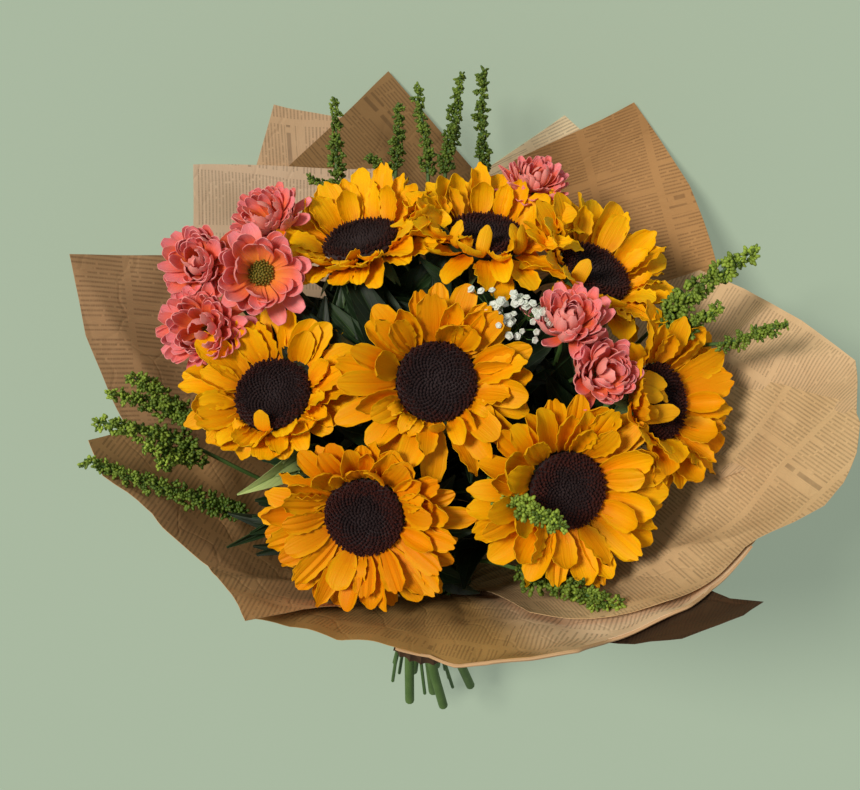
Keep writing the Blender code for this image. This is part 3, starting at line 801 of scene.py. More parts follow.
hem = added(bpy.ops.mesh.primitive_grid_add, "newsprint_hem", x_subdivisions=HEM_COLUMNS,
            y_subdivisions=len(HEM_ROWS) - 1, size=1)
hem_places = []
for row, (past, inwards) in enumerate(HEM_ROWS):
    for column in range(HEM_COLUMNS + 1):
        share = 1 - column / HEM_COLUMNS
        degrees = HEM_START + (HEM_END - HEM_START) * share
        depth = HEM_DEPTH * smooth(share, 0, 0.35) * (1 - 0.7 * smooth(share, 0.7, 1.0))
        depth *= 1 + 0.15 * math.sin(degrees * 0.31)
        angle = np.array([math.radians(degrees)])
        slant = np.array([reach_at(SHEETS["9"][6], degrees) + past * (depth if row > 3 else 1.0)])
        push = shared_push(angle, slant) + inwards * (0.4 + 0.6 * smooth(depth, 2, 12))
        hem_places.append(wrap_points(angle, slant, 1, push)[0])
hem.data.vertices.foreach_set("co", np.array(hem_places).ravel())
hem.data.uv_layers[0].name = "print"
note(hem, "printed", [-1.0] * len(hem_places))
thicken_paper(hem, 60)
hand_over(hem, newsprint("newsprint_plain", 20, (1.04, 0.94, 0.86), 2.7 * MM), "newsprint", "paper_sheet_9")
print("hem", HEM_DEPTH, "mm deep,", len(hem.data.polygons), "faces")

# %% [markdown]
# ## Sunflower middles
# Each middle is a dark cushion packed with florets. In the centre they are still tight buds; near
# the rim they have opened into small red-brown tubes, which gives the fuzzy dark ring. The cushion
# is a circle extruded ring by ring. The florets are two small shapes laid out on a golden-angle
# spiral, which is how the real ones grow.

# %% Frames of the flower heads
HEAD_TOP = Vector((0, 0.887, -0.462))
DISC_SEAT_GAP = 0.4


def packed_points(node):
    """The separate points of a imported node, in metres."""
    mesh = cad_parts[node].data
    points = np.empty(len(mesh.vertices) * 3)
    mesh.vertices.foreach_get("co", points)
    return np.unique(points.reshape(-1, 3).round(6), axis=0)


def head_frame(node, below):
    """Frame of a round flower head: z the way it faces, y towards the tips of the bunch, and its
    origin this many millimetres above the node's lowest point."""
    points = packed_points(node)
    centre = points.mean(axis=0)
    facing = Vector(np.linalg.svd(points - centre)[2][2])
    if facing.dot(STEMS_UP) < 0:
        facing = -facing
    top = (HEAD_TOP - facing * HEAD_TOP.dot(facing)).normalized()
    lowest = ((points - centre) @ np.array(facing)).min()
    origin = Vector(centre) + facing * (lowest + below * MM)
    turn = Matrix((top.cross(facing), top, facing)).transposed().to_4x4()
    return Matrix.Translation(origin) @ turn


# The three upper heads have sunk a little in the soft bunch, by these millimetres.
HEAD_SLIDE = {"1": 7.0, "2": 9.0, "3": 7.0}

HEADS = {n: Matrix.Translation(HEAD_TOP * -HEAD_SLIDE.get(n, 0) * MM)
         @ head_frame("sunflower_disc_" + n, -DISC_SEAT_GAP) for n in "12345678"}
print("head 5 sits at", [round(c, 3) for c in HEADS["5"].translation])

# %% Two floret shapes, ring by ring


def stack_of_rings(name, sides, rings, pattern=True):
    """A closed shape: a ring extruded upwards, one (radius, height) after the other."""
    radius, height = rings[0]
    piece = added(bpy.ops.mesh.primitive_circle_add, name, vertices=sides, radius=radius * MM,
                  fill_type="NGON")
    open_to_edit(piece)
    bpy.ops.transform.translate(value=(0, 0, height * MM))
    for next_radius, next_height in rings[1:]:
        rise = (0, 0, (next_height - height) * MM)
        bpy.ops.mesh.extrude_region_move(TRANSFORM_OT_translate={"value": rise})
        share = next_radius / radius
        bpy.ops.transform.resize(value=(share, share, 1), center_override=(0, 0, next_height * MM))
        radius, height = next_radius, next_height
    bpy.ops.mesh.select_all(action="SELECT")
    bpy.ops.mesh.normals_make_consistent(inside=False)
    close_edit()
    if pattern:
        patterns.append(piece)
    return piece


closed_floret = stack_of_rings("closed_floret", 5, ((1.05, -0.8), (1.2, 0.9), (0.75, 2.0), (0.2, 2.5)))
open_floret = stack_of_rings(
    "open_floret", 5, ((0.7, -0.8), (0.8, 1.2), (1.35, 2.1), (0.5, 1.6), (0.62, 2.9), (0.25, 3.4)))
print("florets of", len(closed_floret.data.polygons), "and", len(open_floret.data.polygons), "faces")

# %% Cushion under the florets
# (radius, height) of each ring in mm
CUSHION_FOOT = (24.0, 0.6)
CUSHION = ((25.6, 3.4), (26.2, 5.4), (25.0, 7.4), (20.5, 8.3), (15.0, 7.5), (9.0, 6.2), (3.0, 5.7))


def cushion(name, head):
    """The disc's body, hollowed a little on top."""
    piece = stack_of_rings(name, 48, (CUSHION_FOOT, *CUSHION), pattern=False)
    piece.data.transform(head)
    note(piece, "tone", [0.0] * len(piece.data.vertices))
    return piece


def cushion_height(radius):
    heights = sorted(CUSHION)
    return float(np.interp(radius, [r for r, _ in heights], [h for _, h in heights]))


print("cushion", CUSHION[1][0] * 2, "mm across")

# %% Disc material and discs
disc_brown = Recipe("disc_brown", roughness=0.75, specular_ior_level=0.2, sheen_weight=0.12,
                    sheen_roughness=0.5, sheen_tint=(0.4, 0.25, 0.3, 1))
ring_tone = disc_brown.value_of("tone")
# The lighter grey-plum colour at the centre is a painted reflection of the sky; outwards the cushion turns
# dark brown and, at the rim, red-brown
disc_colour = ring_tone.range(0.0, 0.6).mix((0.040, 0.028, 0.030), (0.016, 0.007, 0.007))
disc_colour = ring_tone.range(0.72, 1.02).mix(disc_colour, (0.060, 0.010, 0.005))
speckle = disc_brown.noise(disc_brown.place(), 700.0)
disc_brown.set(base_color=speckle.range(0.35, 0.7, 0.0, 0.55).mix(disc_colour, (0.034, 0.020, 0.020)))
disc_brown.bump(speckle, 0.5, 0.0006)

FLORETS, FLORET_REACH = 430, 26.0
# These middles get less of the painted sky reflection, so they are darker towards the centre.
LESS_CENTRE_REFLECTION = {"6": 0.25, "7": 0.25, "8": 0.2, "2": 0.15, "3": 0.15}
for n, head in HEADS.items():
    placed = []
    for k in range(FLORETS):
        radius = FLORET_REACH * math.sqrt((k + 0.5) / FLORETS)
        rim = smooth(radius, 16, 23)
        pattern = open_floret if chance.random() < rim * 1.1 - 0.05 else closed_floret
        lean = math.radians(-6 + 34 * smooth(radius, 18, 26) + wobble(9))
        size = chance.uniform(0.85, 1.15)
        place = (head @ Matrix.Rotation(k * GOLDEN_ANGLE, 4, "Z") @ moved(0, radius, cushion_height(radius))
                 @ Matrix.Rotation(-lean, 4, "X") @ Matrix.Scale(size, 4))
        tone = radius / FLORET_REACH + wobble(0.12) + LESS_CENTRE_REFLECTION.get(n, 0)
        placed.append((pattern, place, tone))
    florets = gather("sunflower_florets_" + n, placed, 40)
    middle = join_pieces("sunflower_middle_" + n, florets, cushion("sunflower_cushion_" + n, head))
    hand_over(middle, disc_brown.material, "sunflower_disc", "sunflower_disc_" + n)
    keep_clear_of("sunflower_" + n, middle, 7)
print("middles:", FLORETS, "florets each,", len(middle.data.polygons), "faces")

# %% [markdown]
# ## Stems
# A stem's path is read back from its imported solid: the solid is cut across at one height after
# another, and the middle of each cut is a point of the path. A curve with a round bevel then gives
# a smooth stem that can swell where it meets the flower.

# %% Follow a packed stem
BUNCH_FROM_WORLD = np.array(WORLD_FROM_BUNCH.inverted())
FIRST_CUT, SAME_STEM = 4, 8


def in_bunch(points):
    """Places in the scene as places in the bunch frame, both in metres."""
    return np.array(points) @ BUNCH_FROM_WORLD[:3, :3].T + BUNCH_FROM_WORLD[:3, 3]


def stem_line(node, top, step=9.0):
    """Middle of a packed stem at each height along the bunch, from its cut end up to the top.
    Where other stems are cut as well, only points near the path so far are used."""
    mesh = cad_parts[node].data
    points = in_bunch([v.co for v in mesh.vertices]) / MM
    edges = np.array([e.vertices for e in mesh.edges])
    low, high = points[edges[:, 0]], points[edges[:, 1]]
    line = []
    for height in np.arange(points[:, 2].min() + FIRST_CUT, top, step):
        crossing = (low[:, 2] - height) * (high[:, 2] - height) < 0
        a, b = low[crossing], high[crossing]
        cut = a + (b - a) * ((height - a[:, 2]) / (b[:, 2] - a[:, 2]))[:, None]
        if line:
            drift = line[-1] - line[-2] if len(line) > 1 else np.zeros(3)
            guess = line[-1] + drift
            cut = cut[np.linalg.norm((cut - guess)[:, :2], axis=1) < SAME_STEM]
        if not len(cut):
            break
        line.append((cut.min(axis=0) + cut.max(axis=0)) / 2)
    start = line[0] - (line[1] - line[0]) * FIRST_CUT / step
    return [start] + line


test_line = stem_line("sunflower_stem_5", 260)
print("stem 5 has", len(test_line), "cuts; it crosses the tie at", test_line[len(test_line) // 3].round(1))

# %% A round stem along a path


def tube(name, path, radii, roundness=3):
    """A round stem through these places in metres, as thick at each as the radii say."""
    piece = added(bpy.ops.curve.primitive_nurbs_path_add, name)
    piece.data.splines.clear()
    line = piece.data.splines.new("POLY")
    line.points.add(len(path) - 1)
    for spot, place, radius in zip(line.points, path, radii):
        spot.co = (*place, 1)
        spot.radius = radius * MM
    piece.data.dimensions = "3D"
    piece.data.bevel_depth = 1.0
    piece.data.bevel_resolution = roundness
    piece.data.use_fill_caps = True
    only(piece)
    bpy.ops.object.convert(target="MESH")
    piece = bpy.context.active_object
    open_to_edit(piece)
    bpy.ops.mesh.remove_doubles(threshold=1e-6)
    bpy.ops.mesh.normals_make_consistent(inside=False)
    close_edit()
    shade_smooth(piece, 40)
    return piece


print("tube ready")

# %% Green materials


def leafy(name, dark, light, rough, vein_scale):
    """Green skin of stems and leaves, mottled and a little lighter along the veins."""
    skin = Recipe(name, roughness=rough, specular_ior_level=0.35)
    patch, fine = skin.noise(skin.place(), 60.0, 3.0), skin.noise(skin.place(), vein_scale, 2.0)
    colour = (patch * 0.6 + skin.value_of("tone") * 0.5).range(0.25, 0.8).mix(dark, light)
    skin.set(base_color=fine.range(0.5, 0.8, 0.0, 0.35).mix(colour, light))
    skin.bump(fine, 0.35, 0.0005)
    return skin.material


stem_green = leafy("stem_green", (0.075, 0.15, 0.03), (0.17, 0.28, 0.07), 0.6, 900.0)
thin_green = leafy("thin_stem_green", (0.06, 0.13, 0.03), (0.14, 0.25, 0.06), 0.55, 1200.0)
print("greens ready")

# %% Sunflower stems
STEM_RADIUS = 4.2
ABOVE_ALL = 400
# seat of the flower: (distance behind the head, radius of the stem there)
SEAT = ((46, 4.4), (34, 4.8), (26, 6.0), (20, 9.0), (15, 13.5), (10, 18.0), (6, 20.6), (3, 20.8), (1.2, 19.0))


def eased(path, rounds=2):
    """The same path with its corners eased, its ends kept."""
    points = np.array(path)
    for _ in range(rounds):
        points[1:-1] = (points[:-2] + 2 * points[1:-1] + points[2:]) / 4
    return points


STEM_LINES = {}
for n, head in HEADS.items():
    seat = [head @ Vector((0, 0, -back * MM)) for back, _ in SEAT]
    line = [to_world(p) for p in stem_line("sunflower_stem_" + n, ABOVE_ALL)]
    along = (head.translation - seat[0]).normalized()
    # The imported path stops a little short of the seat, so that the stem bends gently into it.
    line = [p for p in line if (seat[0] - p).dot(along) > 14 * MM or (seat[0] - p).length > 70 * MM]
    line = line[:next((k for k, p in enumerate(line) if (seat[0] - p).length < 12 * MM), len(line))]
    STEM_LINES[n] = [np.array(p) for p in line]
    path = eased(line + seat[:2])
    path = list(path[:-2]) + seat
    radii = [STEM_RADIUS] * (len(path) - len(seat)) + [radius for _, radius in SEAT]
    stem = tube("sunflower_stem_" + n + "_green", path, radii)
    hand_over(stem, stem_green, "green_stem", "sunflower_stem_" + n)
    print(stem.name, len(stem.data.polygons), "faces")

# %% [markdown]
# ## Bracts and leaves
# Behind the petals sits a crown of pointed green bracts, and a few broad leaves come off the stems.
# Both are the same kind of blade as a petal: a grid drawn in to its outline, folded along its
# middle and curled row by row.

# %% Leaf and bract shapes
LEAF_LENGTH, LEAF_HALF_WIDTH = 60, 14
BRACT_ROWS = (0.85, 1.0, 0.92, 0.72, 0.46, 0.24, 0.06)
LEAF_ROWS = (0.10, 0.5, 0.86, 1.0, 0.95, 0.82, 0.64, 0.44, 0.24, 0.05)
bract_flat = blade("bract_flat", 24, 10, BRACT_ROWS, (0.9, 0.2, 0, 0.2, 0.9), (4, 2, -2, -6, -9, -10))
bract_hooked = blade("bract_hooked", 22, 9, BRACT_ROWS, (1.3, 0.3, 0, 0.3, 1.3),
                     (0, -6, -12, -16, -16, -12), 14)
leaf_arched = blade("leaf_arched", LEAF_LENGTH, 28, LEAF_ROWS, (4.0, 2.4, 1.6, 0, 1.6, 2.4, 4.0),
                    (20, 8, 2, -4, -8, -10, -10, -10, -8), thickness=0.5)
leaf_wavy = blade("leaf_wavy", LEAF_LENGTH, 26, LEAF_ROWS, (5.5, 2.2, 2.0, 0, 1.4, 2.8, 3.2),
                  (14, 2, 6, -8, -2, -12, -4, -10, -6), 22, thickness=0.5)
print("leaf of", len(leaf_arched.data.polygons), "faces")

# %% Leaf material
leaf_green = Recipe("leaf_green", roughness=0.5, specular_ior_level=0.4, subsurface_weight=0.06,
                    subsurface_radius=(0.002, 0.003, 0.001))
leaf_u, leaf_v = leaf_green.parts(leaf_green.sheet_place("shape"))
off_middle = abs(leaf_u - 0.5)
side_rib = abs((leaf_v * 9.0 - off_middle * 5.0).math("FRACT") - 0.5).range(0.0, 0.09, 0.6, 0.0)
ribs = off_middle.range(0.015, 0.05, 1.0, 0.0).math("MAXIMUM", side_rib)
leaf_cloud = leaf_green.noise(leaf_green.place(), 90.0, 3.0)
leaf_tone = leaf_cloud * 0.5 + leaf_green.value_of("tone")
# Low tones give a near-black green: painted shade, used for the leaves deep in the bunch and in the gaps
leaf_colour = leaf_tone.range(-0.2, 0.5).mix((0.006, 0.014, 0.005), (0.020, 0.055, 0.012))
leaf_colour = leaf_tone.range(0.45, 1.5).mix(leaf_colour, (0.54, 0.68, 0.24))
rib_share = ribs * leaf_tone.range(0.0, 1.0, 0.08, 0.5)
leaf_colour = rib_share.mix(leaf_colour, (0.22, 0.36, 0.12))
back_share = leaf_green.value_of("under") * leaf_tone.range(0.0, 0.8, 0.05, 0.4)
leaf_green.set(base_color=back_share.mix(leaf_colour, (0.19, 0.30, 0.14)))
leaf_green.bump(leaf_cloud * 0.5 - ribs, 0.4, 0.0008)
print("leaf material ready")

# %% Where the leaves leave the stems
# stem: (height where the leaf leaves the stem, tip in the bunch frame, half width, tone)
LEAVES = {
    "1": ((236, (-76, 66, 288), 13, 0.2), (215, (-60, 96, 262), 12, 0.1)),
    "2": ((246, (20, 70, 296), 12, 0.3), (228, (66, 62, 288), 12, 0.1)),
    "3": ((215, (130, 60, 272), 12, 0.2),),
    "4": ((228, (-144, -42, 225), 10, 1.5), (240, (-104, -40, 245), 9, 1.5), (244, (-90, -26, 256), 6, 1.3),
          (224, (-120, -31, 224), 10, 0.8), (222, (-97, -25, 230), 11, 0.4)),
    "5": ((226, (-22, 76, 290), 14, 0.2), (205, (46, 30, 268), 12, 0.1), (210, (-44, 16, 262), 12, 0.1)),
    "6": ((170, (-88, -58, 206), 11, 0.1), (178, (0, -50, 230), 12, 0.1)),
    "7": ((150, (84, -86, 184), 12, 0.1), (188, (38, -58, 236), 12, 0.3)),
    "8": ((196, (168, -28, 216), 12, 0.2), (200, (138, 44, 262), 12, 0.1)),
}
LEAF_SIDE = Vector((0, 0.3, 0.95))


def leaf_matrix(start, tip, half_width, roll):
    """Turns and sizes the leaf shape so that it reaches from the stem to its tip."""
    along = tip - start
    away = LEAF_SIDE + Vector((1, 0, 0)) * roll
    across = along.cross(away).normalized()
    turn = Matrix((across, along.normalized(), across.cross(along).normalized())).transposed().to_4x4()
    size = along.length / (LEAF_LENGTH * MM)
    width = half_width / LEAF_HALF_WIDTH
    return Matrix.Translation(start) @ turn @ Matrix.Diagonal((width, size, size, 1))


def at_height(line, height):
    """The place on a stem at this height, both in metres in the bunch frame."""
    return [np.interp(height, line[:, 2], line[:, axis]) for axis in range(3)]


print(sum(len(on_stem) for on_stem in LEAVES.values()), "broad leaves")

# %% Bracts and leaves of each sunflower
BRACTS = 21
for n, head in HEADS.items():
    placed = []
    for k in range(BRACTS):
        upper = k % 2
        turn = (k + wobble(0.25)) * 2 * math.pi / BRACTS
        pattern = bract_hooked if chance.random() < 0.4 else bract_flat
        droop = math.radians(chance.uniform(-26, -4) - 22 * (1 - upper))
        place = (head @ Matrix.Rotation(turn, 4, "Z") @ moved(0, 17.5 + 1.5 * upper, -7.5 + 3.6 * upper)
                 @ Matrix.Rotation(droop, 4, "X") @ Matrix.Scale(chance.uniform(0.85, 1.15), 4))
        placed.append((pattern, place, chance.uniform(0.15, 0.6)))
    line = in_bunch(STEM_LINES[n])
    for height, tip, half_width, tone in LEAVES[n]:
        start = [c / MM for c in at_height(line, height * MM)]
        pattern = leaf_wavy if chance.random() < 0.5 else leaf_arched
        place = leaf_matrix(to_world(start), to_world(tip), half_width, wobble(0.4))
        placed.append((pattern, place, tone))
    leaves = set_out("sunflower_leaves_" + n, placed, leaf_green.material, "green_stem",
                     "sunflower_stem_" + n, "sunflower_" + n)
print("bracts and leaves of stem 8:", len(leaves.data.polygons), "faces")

# %% [markdown]
# ## Finding room for each petal
# Petals of crowded flowers lie over and under each other. Each one is tried at a few lifts round the
# one it would like to have, and if need be a little shorter, and stays where it best clears
# everything already placed. That is what keeps neighbouring flowers from growing through one another.

# %% Try a petal at several lifts and lengths
LIFT_TRIES = (0, -7, 7, -14, 14, -22, 22, 30)
LENGTH_TRIES = (1.0, 0.84, 0.68)
FOOT_POINTS = 14
# what a degree of lift, a shorter petal and a millimetre too near a neighbour cost
LIFT_DIVISOR, SHORT_COST, NEAR_COST = 12, 7, 0.08


def tree_without(owner):
    """Everything placed so far that does not belong to this flower, ready for nearest-point search."""
    points = np.concatenate([places for name, places in obstacles if name != owner])
    tree = KDTree(len(points))
    for index, point in enumerate(points):
        tree.insert(point, index)
    tree.balance()
    return tree


def settle(pattern, root, lift, roll, size, tree, clear):
    """The matrix of a petal at the lift and length that fit best, judged at every other point of its
    upper side beyond the foot."""
    shape = shape_of(pattern)[0]
    sample = [Vector(p) for p in shape[FOOT_POINTS:len(shape) // 2:2]]
    best = None
    for share in LENGTH_TRIES:
        for change in LIFT_TRIES:
            matrix = (root @ Matrix.Rotation(math.radians(lift + change), 4, "X")
                      @ Matrix.Rotation(math.radians(roll), 4, "Y")
                      @ Matrix.Diagonal((size[0], size[1] * share, size[2], 1)))
            cost = abs(change) / LIFT_DIVISOR + (1 - share) * SHORT_COST
            for point in sample:
                lack = clear - tree.find(matrix @ point)[2] / MM
                cost += max(lack, 0) ** 2 * NEAR_COST
            if best is None or cost < best[0]:
                best = (cost, matrix)
        if best[0] < (1 - share) * SHORT_COST + 2:
            break
    return best[1]


print(len(LIFT_TRIES), "lifts and", len(LENGTH_TRIES), "lengths are tried for each petal")

# %% [markdown]
# ### Leaves deep in the bunch
# Between the heads the real bunch is dark with leaves and shade, and no stem or paper shows through.
# So every sunflower stem also carries leaves below its head, set round it in golden-angle steps, and
# each gap between heads is filled by leaves that reach up into it from the nearest stems. These
# leaves are given a near-black green: painted shade.

# %% Deep leaves
DEEP_LEAVES = 12
for n in HEADS:
    line = in_bunch(STEM_LINES[n])
    tree = tree_without("nobody")
    placed = []
    for k in range(DEEP_LEAVES):
        height = line[-1][2] * (0.58 + 0.40 * (k + 0.5) / DEEP_LEAVES)
        root = (WORLD_FROM_BUNCH @ Matrix.Translation(at_height(line, height))
                @ Matrix.Rotation(k * GOLDEN_ANGLE + int(n) * 1.3, 4, "Z"))
        pattern = leaf_wavy if k % 2 else leaf_arched
        size = chance.uniform(0.85, 1.2)
        place = settle(pattern, root, chance.uniform(12, 38), wobble(15),
                       (size * 1.15, size, size), tree, 2.0)
        # A low tone: near-black painted shade
        placed.append((pattern, place, chance.uniform(-0.45, 0.05)))
    set_out("deep_leaves_" + n, placed, leaf_green.material, "green_stem", "sunflower_stem_" + n,
            "deep_leaves", 3)
print(DEEP_LEAVES * len(HEADS), "deep leaves")

# %% Gaps between the heads
# middle of each gap in the bunch frame, and how many leaves meet there
# The last three gaps, between the left spikes and head 3, lie over paper in shade: their dark leaves are
# painted shade there
GAPS = (
    ((-38, 77, 284), 6), ((-59, 80, 286), 5), ((-17, 80, 286), 5), ((-20, 60, 270), 4), ((7, 107, 312), 5),
    ((15, 90, 302), 4), ((-1, 131, 315), 3), ((-78, 74, 282), 5), ((-73, 60, 272), 4), ((-40, -11, 244), 4),
    ((-65, -6, 247), 4), ((22, -32, 234), 4), ((27, -47, 226), 3), ((72, 12, 254), 4), ((62, 20, 260), 3),
    ((-83, -21, 226), 3), ((-90, 72, 276), 5), ((-86, 56, 262), 4), ((-74, 92, 286), 4), ((80, 40, 270), 4),
    ((91, 80, 284), 4), ((49, 69, 278), 6), ((77, 74, 280), 5), ((-92, 76, 280), 6), ((-94, 62, 266), 5),
    ((-88, 87, 280), 5), ((-71, 96, 286), 5), ((-49, 100, 289), 6), ((-53, 110, 296), 4), ((-79, 78, 274), 4),
    ((-50, 91, 278), 4), ((26, -84, 168), 2), ((-120, -34, 208), 5), ((-130, -44, 204), 4),
    ((-112, -52, 200), 3),
)
print(len(GAPS), "gaps")

# %% Leaves that fill the gaps
# a stem that feeds a gap is taken this far below it, in millimetres
STEM_BELOW_GAP = 32
gap_chance = random.Random(5)
gap_leaves = {n: [] for n in HEADS}
for middle, count in GAPS:
    middle = Vector(middle)
    starts = []
    for n in HEADS:
        line = in_bunch(STEM_LINES[n])
        below = [Vector(point) for point in line / MM if middle.z - point[2] > STEM_BELOW_GAP]
        nearest = min(below, key=lambda point: (point - middle).length)
        starts.append(((nearest - middle).length, n, nearest))
    starts.sort(key=lambda start: start[0])
    for k in range(count):
        _, n, start = starts[k % 4]
        spread = Vector((gap_chance.uniform(-16, 16), gap_chance.uniform(-16, 16), gap_chance.uniform(-8, 4)))
        tip = middle + spread + (middle - start) * 0.12
        place = leaf_matrix(to_world(start), to_world(tip), 17, gap_chance.uniform(-0.3, 0.3))
        pattern = leaf_wavy if k % 2 else leaf_arched
        # A low tone: near-black painted shade
        gap_leaves[n].append((pattern, place, gap_chance.uniform(-0.5, 0.0)))
# One more small leaf lies over the slit at the neck, where the table would shine through
slit_leaf = leaf_matrix(to_world((6, -70, 165)), to_world((38, -80, 161)), 6.5, 0.0)
gap_leaves["7"].append((leaf_arched, slit_leaf, -0.4))
for n, placed in gap_leaves.items():
    if placed:
        set_out("gap_leaves_" + n, placed, leaf_green.material, "green_stem", "sunflower_stem_" + n,
                "deep_leaves", 3)
print(sum(len(placed) for placed in gap_leaves.values()), "leaves in", len(GAPS), "gaps")

# %% [markdown]
# ## Pink daisies
# The daisies are double: rows of blunt spoon-shaped petals that curl inwards, coral at the foot and
# pink at the tip, with paler backs. Six are still cupped over their middle with four rows. The
# seventh has opened, shows two rows and its olive-green button.

# %% Daisy petal shapes
SPOON_ROWS = (0.34, 0.50, 0.68, 0.85, 0.97, 1.0, 0.86, 0.46)
spoon = blade("daisy_spoon", 23, 9.2, SPOON_ROWS, (2.2, 0.9, 0.2, 0.2, 0.9, 2.2),
              (4, 4, 4, 6, 8, 10, 12), thickness=0.4)
spoon_curled = blade("daisy_curled", 23, 8.6, SPOON_ROWS, (2.8, 1.2, 0.3, 0.1, 0.6, 1.6),
                     (8, 8, 9, 11, 13, 15, 16), 10, thickness=0.4)
spoon_loose = blade("daisy_loose", 24, 9.2, SPOON_ROWS, (1.6, 0.5, 0.1, 0.1, 0.5, 1.6),
                    (6, 2, -2, -4, -2, 6, 12), -12, thickness=0.4)
daisy_floret = stack_of_rings("daisy_floret", 5, ((0.6, -0.8), (0.8, 0.8), (0.55, 1.6), (0.2, 1.9)))
print("daisy petal of", len(spoon.data.polygons), "faces")

# %% Daisy materials
daisy_pink = Recipe("daisy_pink", roughness=0.5, specular_ior_level=0.3, subsurface_weight=0.10,
                    subsurface_radius=(0.004, 0.001, 0.001), sheen_weight=0.15, sheen_roughness=0.4)
spoon_u, spoon_v = daisy_pink.parts(daisy_pink.sheet_place("shape"))
daisy_tone = daisy_pink.value_of("tone")
spoon_vein = daisy_pink.streaks(2.0, spoon_u * 16.0, spoon_v * 1.5, daisy_tone * 40.0)
spoon_reach = spoon_v + (daisy_tone - 0.5) * 0.35
petal_pink = spoon_reach.range(0.05, 0.6).mix((0.90, 0.27, 0.03), (0.88, 0.17, 0.085))
petal_pink = spoon_reach.range(0.55, 1.0).mix(petal_pink, (0.95, 0.31, 0.34))
petal_pink = spoon_vein.range(0.45, 0.75, 0.0, 0.35).mix(petal_pink, (0.66, 0.05, 0.04))
back_share = daisy_pink.value_of("under") * 0.65
daisy_pink.set(base_color=back_share.mix(petal_pink, (0.92, 0.36, 0.29)))
daisy_pink.bump(spoon_vein, 0.35, 0.0006)
daisy_button = speckled("daisy_button", 900.0, 2.0, 0.7, (0.13, 0.13, 0.02), (0.36, 0.30, 0.04), 0, 0,
                        roughness=0.7, specular_ior_level=0.3)
print("daisy materials ready")

# %% Plan of each daisy
DAISY_SEAT = 4.55
# daisy: (size, petal width, petals in the outer row, lift of the outer row, lift of the inner row,
#         share of the turn towards the light, slide to the right and towards the tips in mm)
DAISIES = {
    "1": (1.22, 0.78, 26, 10, 38, 0.4, (4, -3)), "2": (1.26, 1.12, 19, 6, 30, 0.8, (-1, 1)),
    "3": (1.30, 0.94, 20, 12, 40, 0.7, (8, -4)), "4": (1.40, 0.74, 27, 6, 30, 0.7, (10, 4)),
    "5": (1.30, 0.84, 20, 16, 46, 0.35, (5, -14)), "6": (1.30, 0.95, 18, 14, 42, 0.5, (-5, -7)),
    "7": (1.12, 0.70, 24, 8, 34, 0.3, (-3, -12)),
}
OPEN_DAISY, OPEN_ROOT = "2", 7.2
LIGHT_SIDE = Vector((0, 0.46, 0.89))
BUTTON_GRAINS, BUTTON_RADIUS = 70, 7.2
BUTTON_BASE = ((1.6, -4.0), (3.6, -2.4), (6.0, 0.2), (7.4, 2.6), (4.0, 5.2), (1.0, 5.9))


def daisy_frame(node, share, slide):
    """Frame of a daisy head, turned part of the way towards the light."""
    head = head_frame(node, DAISY_SEAT)
    facing = head.to_3x3() @ Vector((0, 0, 1))
    turn = facing.rotation_difference(facing.lerp(LIGHT_SIDE, share).normalized())
    place = head.translation + Vector((slide[0] * MM, 0, 0)) + HEAD_TOP * slide[1] * MM
    return Matrix.Translation(place) @ (turn.to_matrix() @ head.to_3x3()).to_4x4()


print(len(DAISIES), "daisies, petals up to", max(plan[0] for plan in DAISIES.values()), "times the shape")

# %% Daisy heads
for n, (size, width, count, outer, inner, share, slide) in DAISIES.items():
    head = daisy_frame("daisy_head_" + n, share, slide)
    tree = tree_without("daisy_" + n)
    placed = []
    # row: (petals in it, lift, distance of the roots from the middle)
    rows = [(count, outer, 4.6), (count - 2, inner * 0.5 + outer * 0.5 + 4, 4.2), (count - 4, inner, 3.8),
            (8, inner + 16, 3.4)]
    if n == OPEN_DAISY:
        rows = [(petals_in_row, lift, OPEN_ROOT) for petals_in_row, lift, _ in rows[:2]]
    for row, (petals_in_row, lift, root) in enumerate(rows):
        for k in range(petals_in_row):
            turn = (k + 0.5 * row + wobble(0.25)) * 2 * math.pi / petals_in_row
            pattern = chance.choice((spoon, spoon, spoon_curled, spoon_loose))
            base = head @ Matrix.Rotation(turn, 4, "Z") @ moved(0, root, 1.2 + 1.5 * row)
            long = size * chance.uniform(0.84, 1.08) * (1 - 0.07 * row)
            place = settle(pattern, base, lift + wobble(9), wobble(16),
                           (size * width * chance.uniform(0.9, 1.1), long, long), tree, 1.5)
            placed.append((pattern, place, chance.random()))
    petals = set_out("daisy_petals_" + n, placed, daisy_pink.material, "daisy_petals", "daisy_head_" + n,
                     "daisy_" + n)

    seat = head @ Matrix.Scale(1.25 if n == OPEN_DAISY else 1.0, 4)
    grains = []
    for k in range(BUTTON_GRAINS):
        radius = BUTTON_RADIUS * math.sqrt((k + 0.5) / BUTTON_GRAINS)
        dome = 3.2 + 2.6 * (1 - (radius / BUTTON_RADIUS) ** 2)
        place = seat @ Matrix.Rotation(k * GOLDEN_ANGLE, 4, "Z") @ moved(0, radius, dome)
        grains.append((daisy_floret, place, 0.5))
    grains.append((stack_of_rings("daisy_base_" + n, 12, BUTTON_BASE), seat, 0.5))
    set_out("daisy_button_" + n, grains, daisy_button, "daisy_petals", "daisy_head_" + n, smooth_angle=40)
print("daisy of", len(petals.data.polygons), "petal faces")

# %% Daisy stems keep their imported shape
for side in ("left", "right", "back"):
    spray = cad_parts["daisy_stem_" + side]
    spray.data.materials.clear()
    spray.data.materials.append(thin_green)
print("3 daisy stems finished")

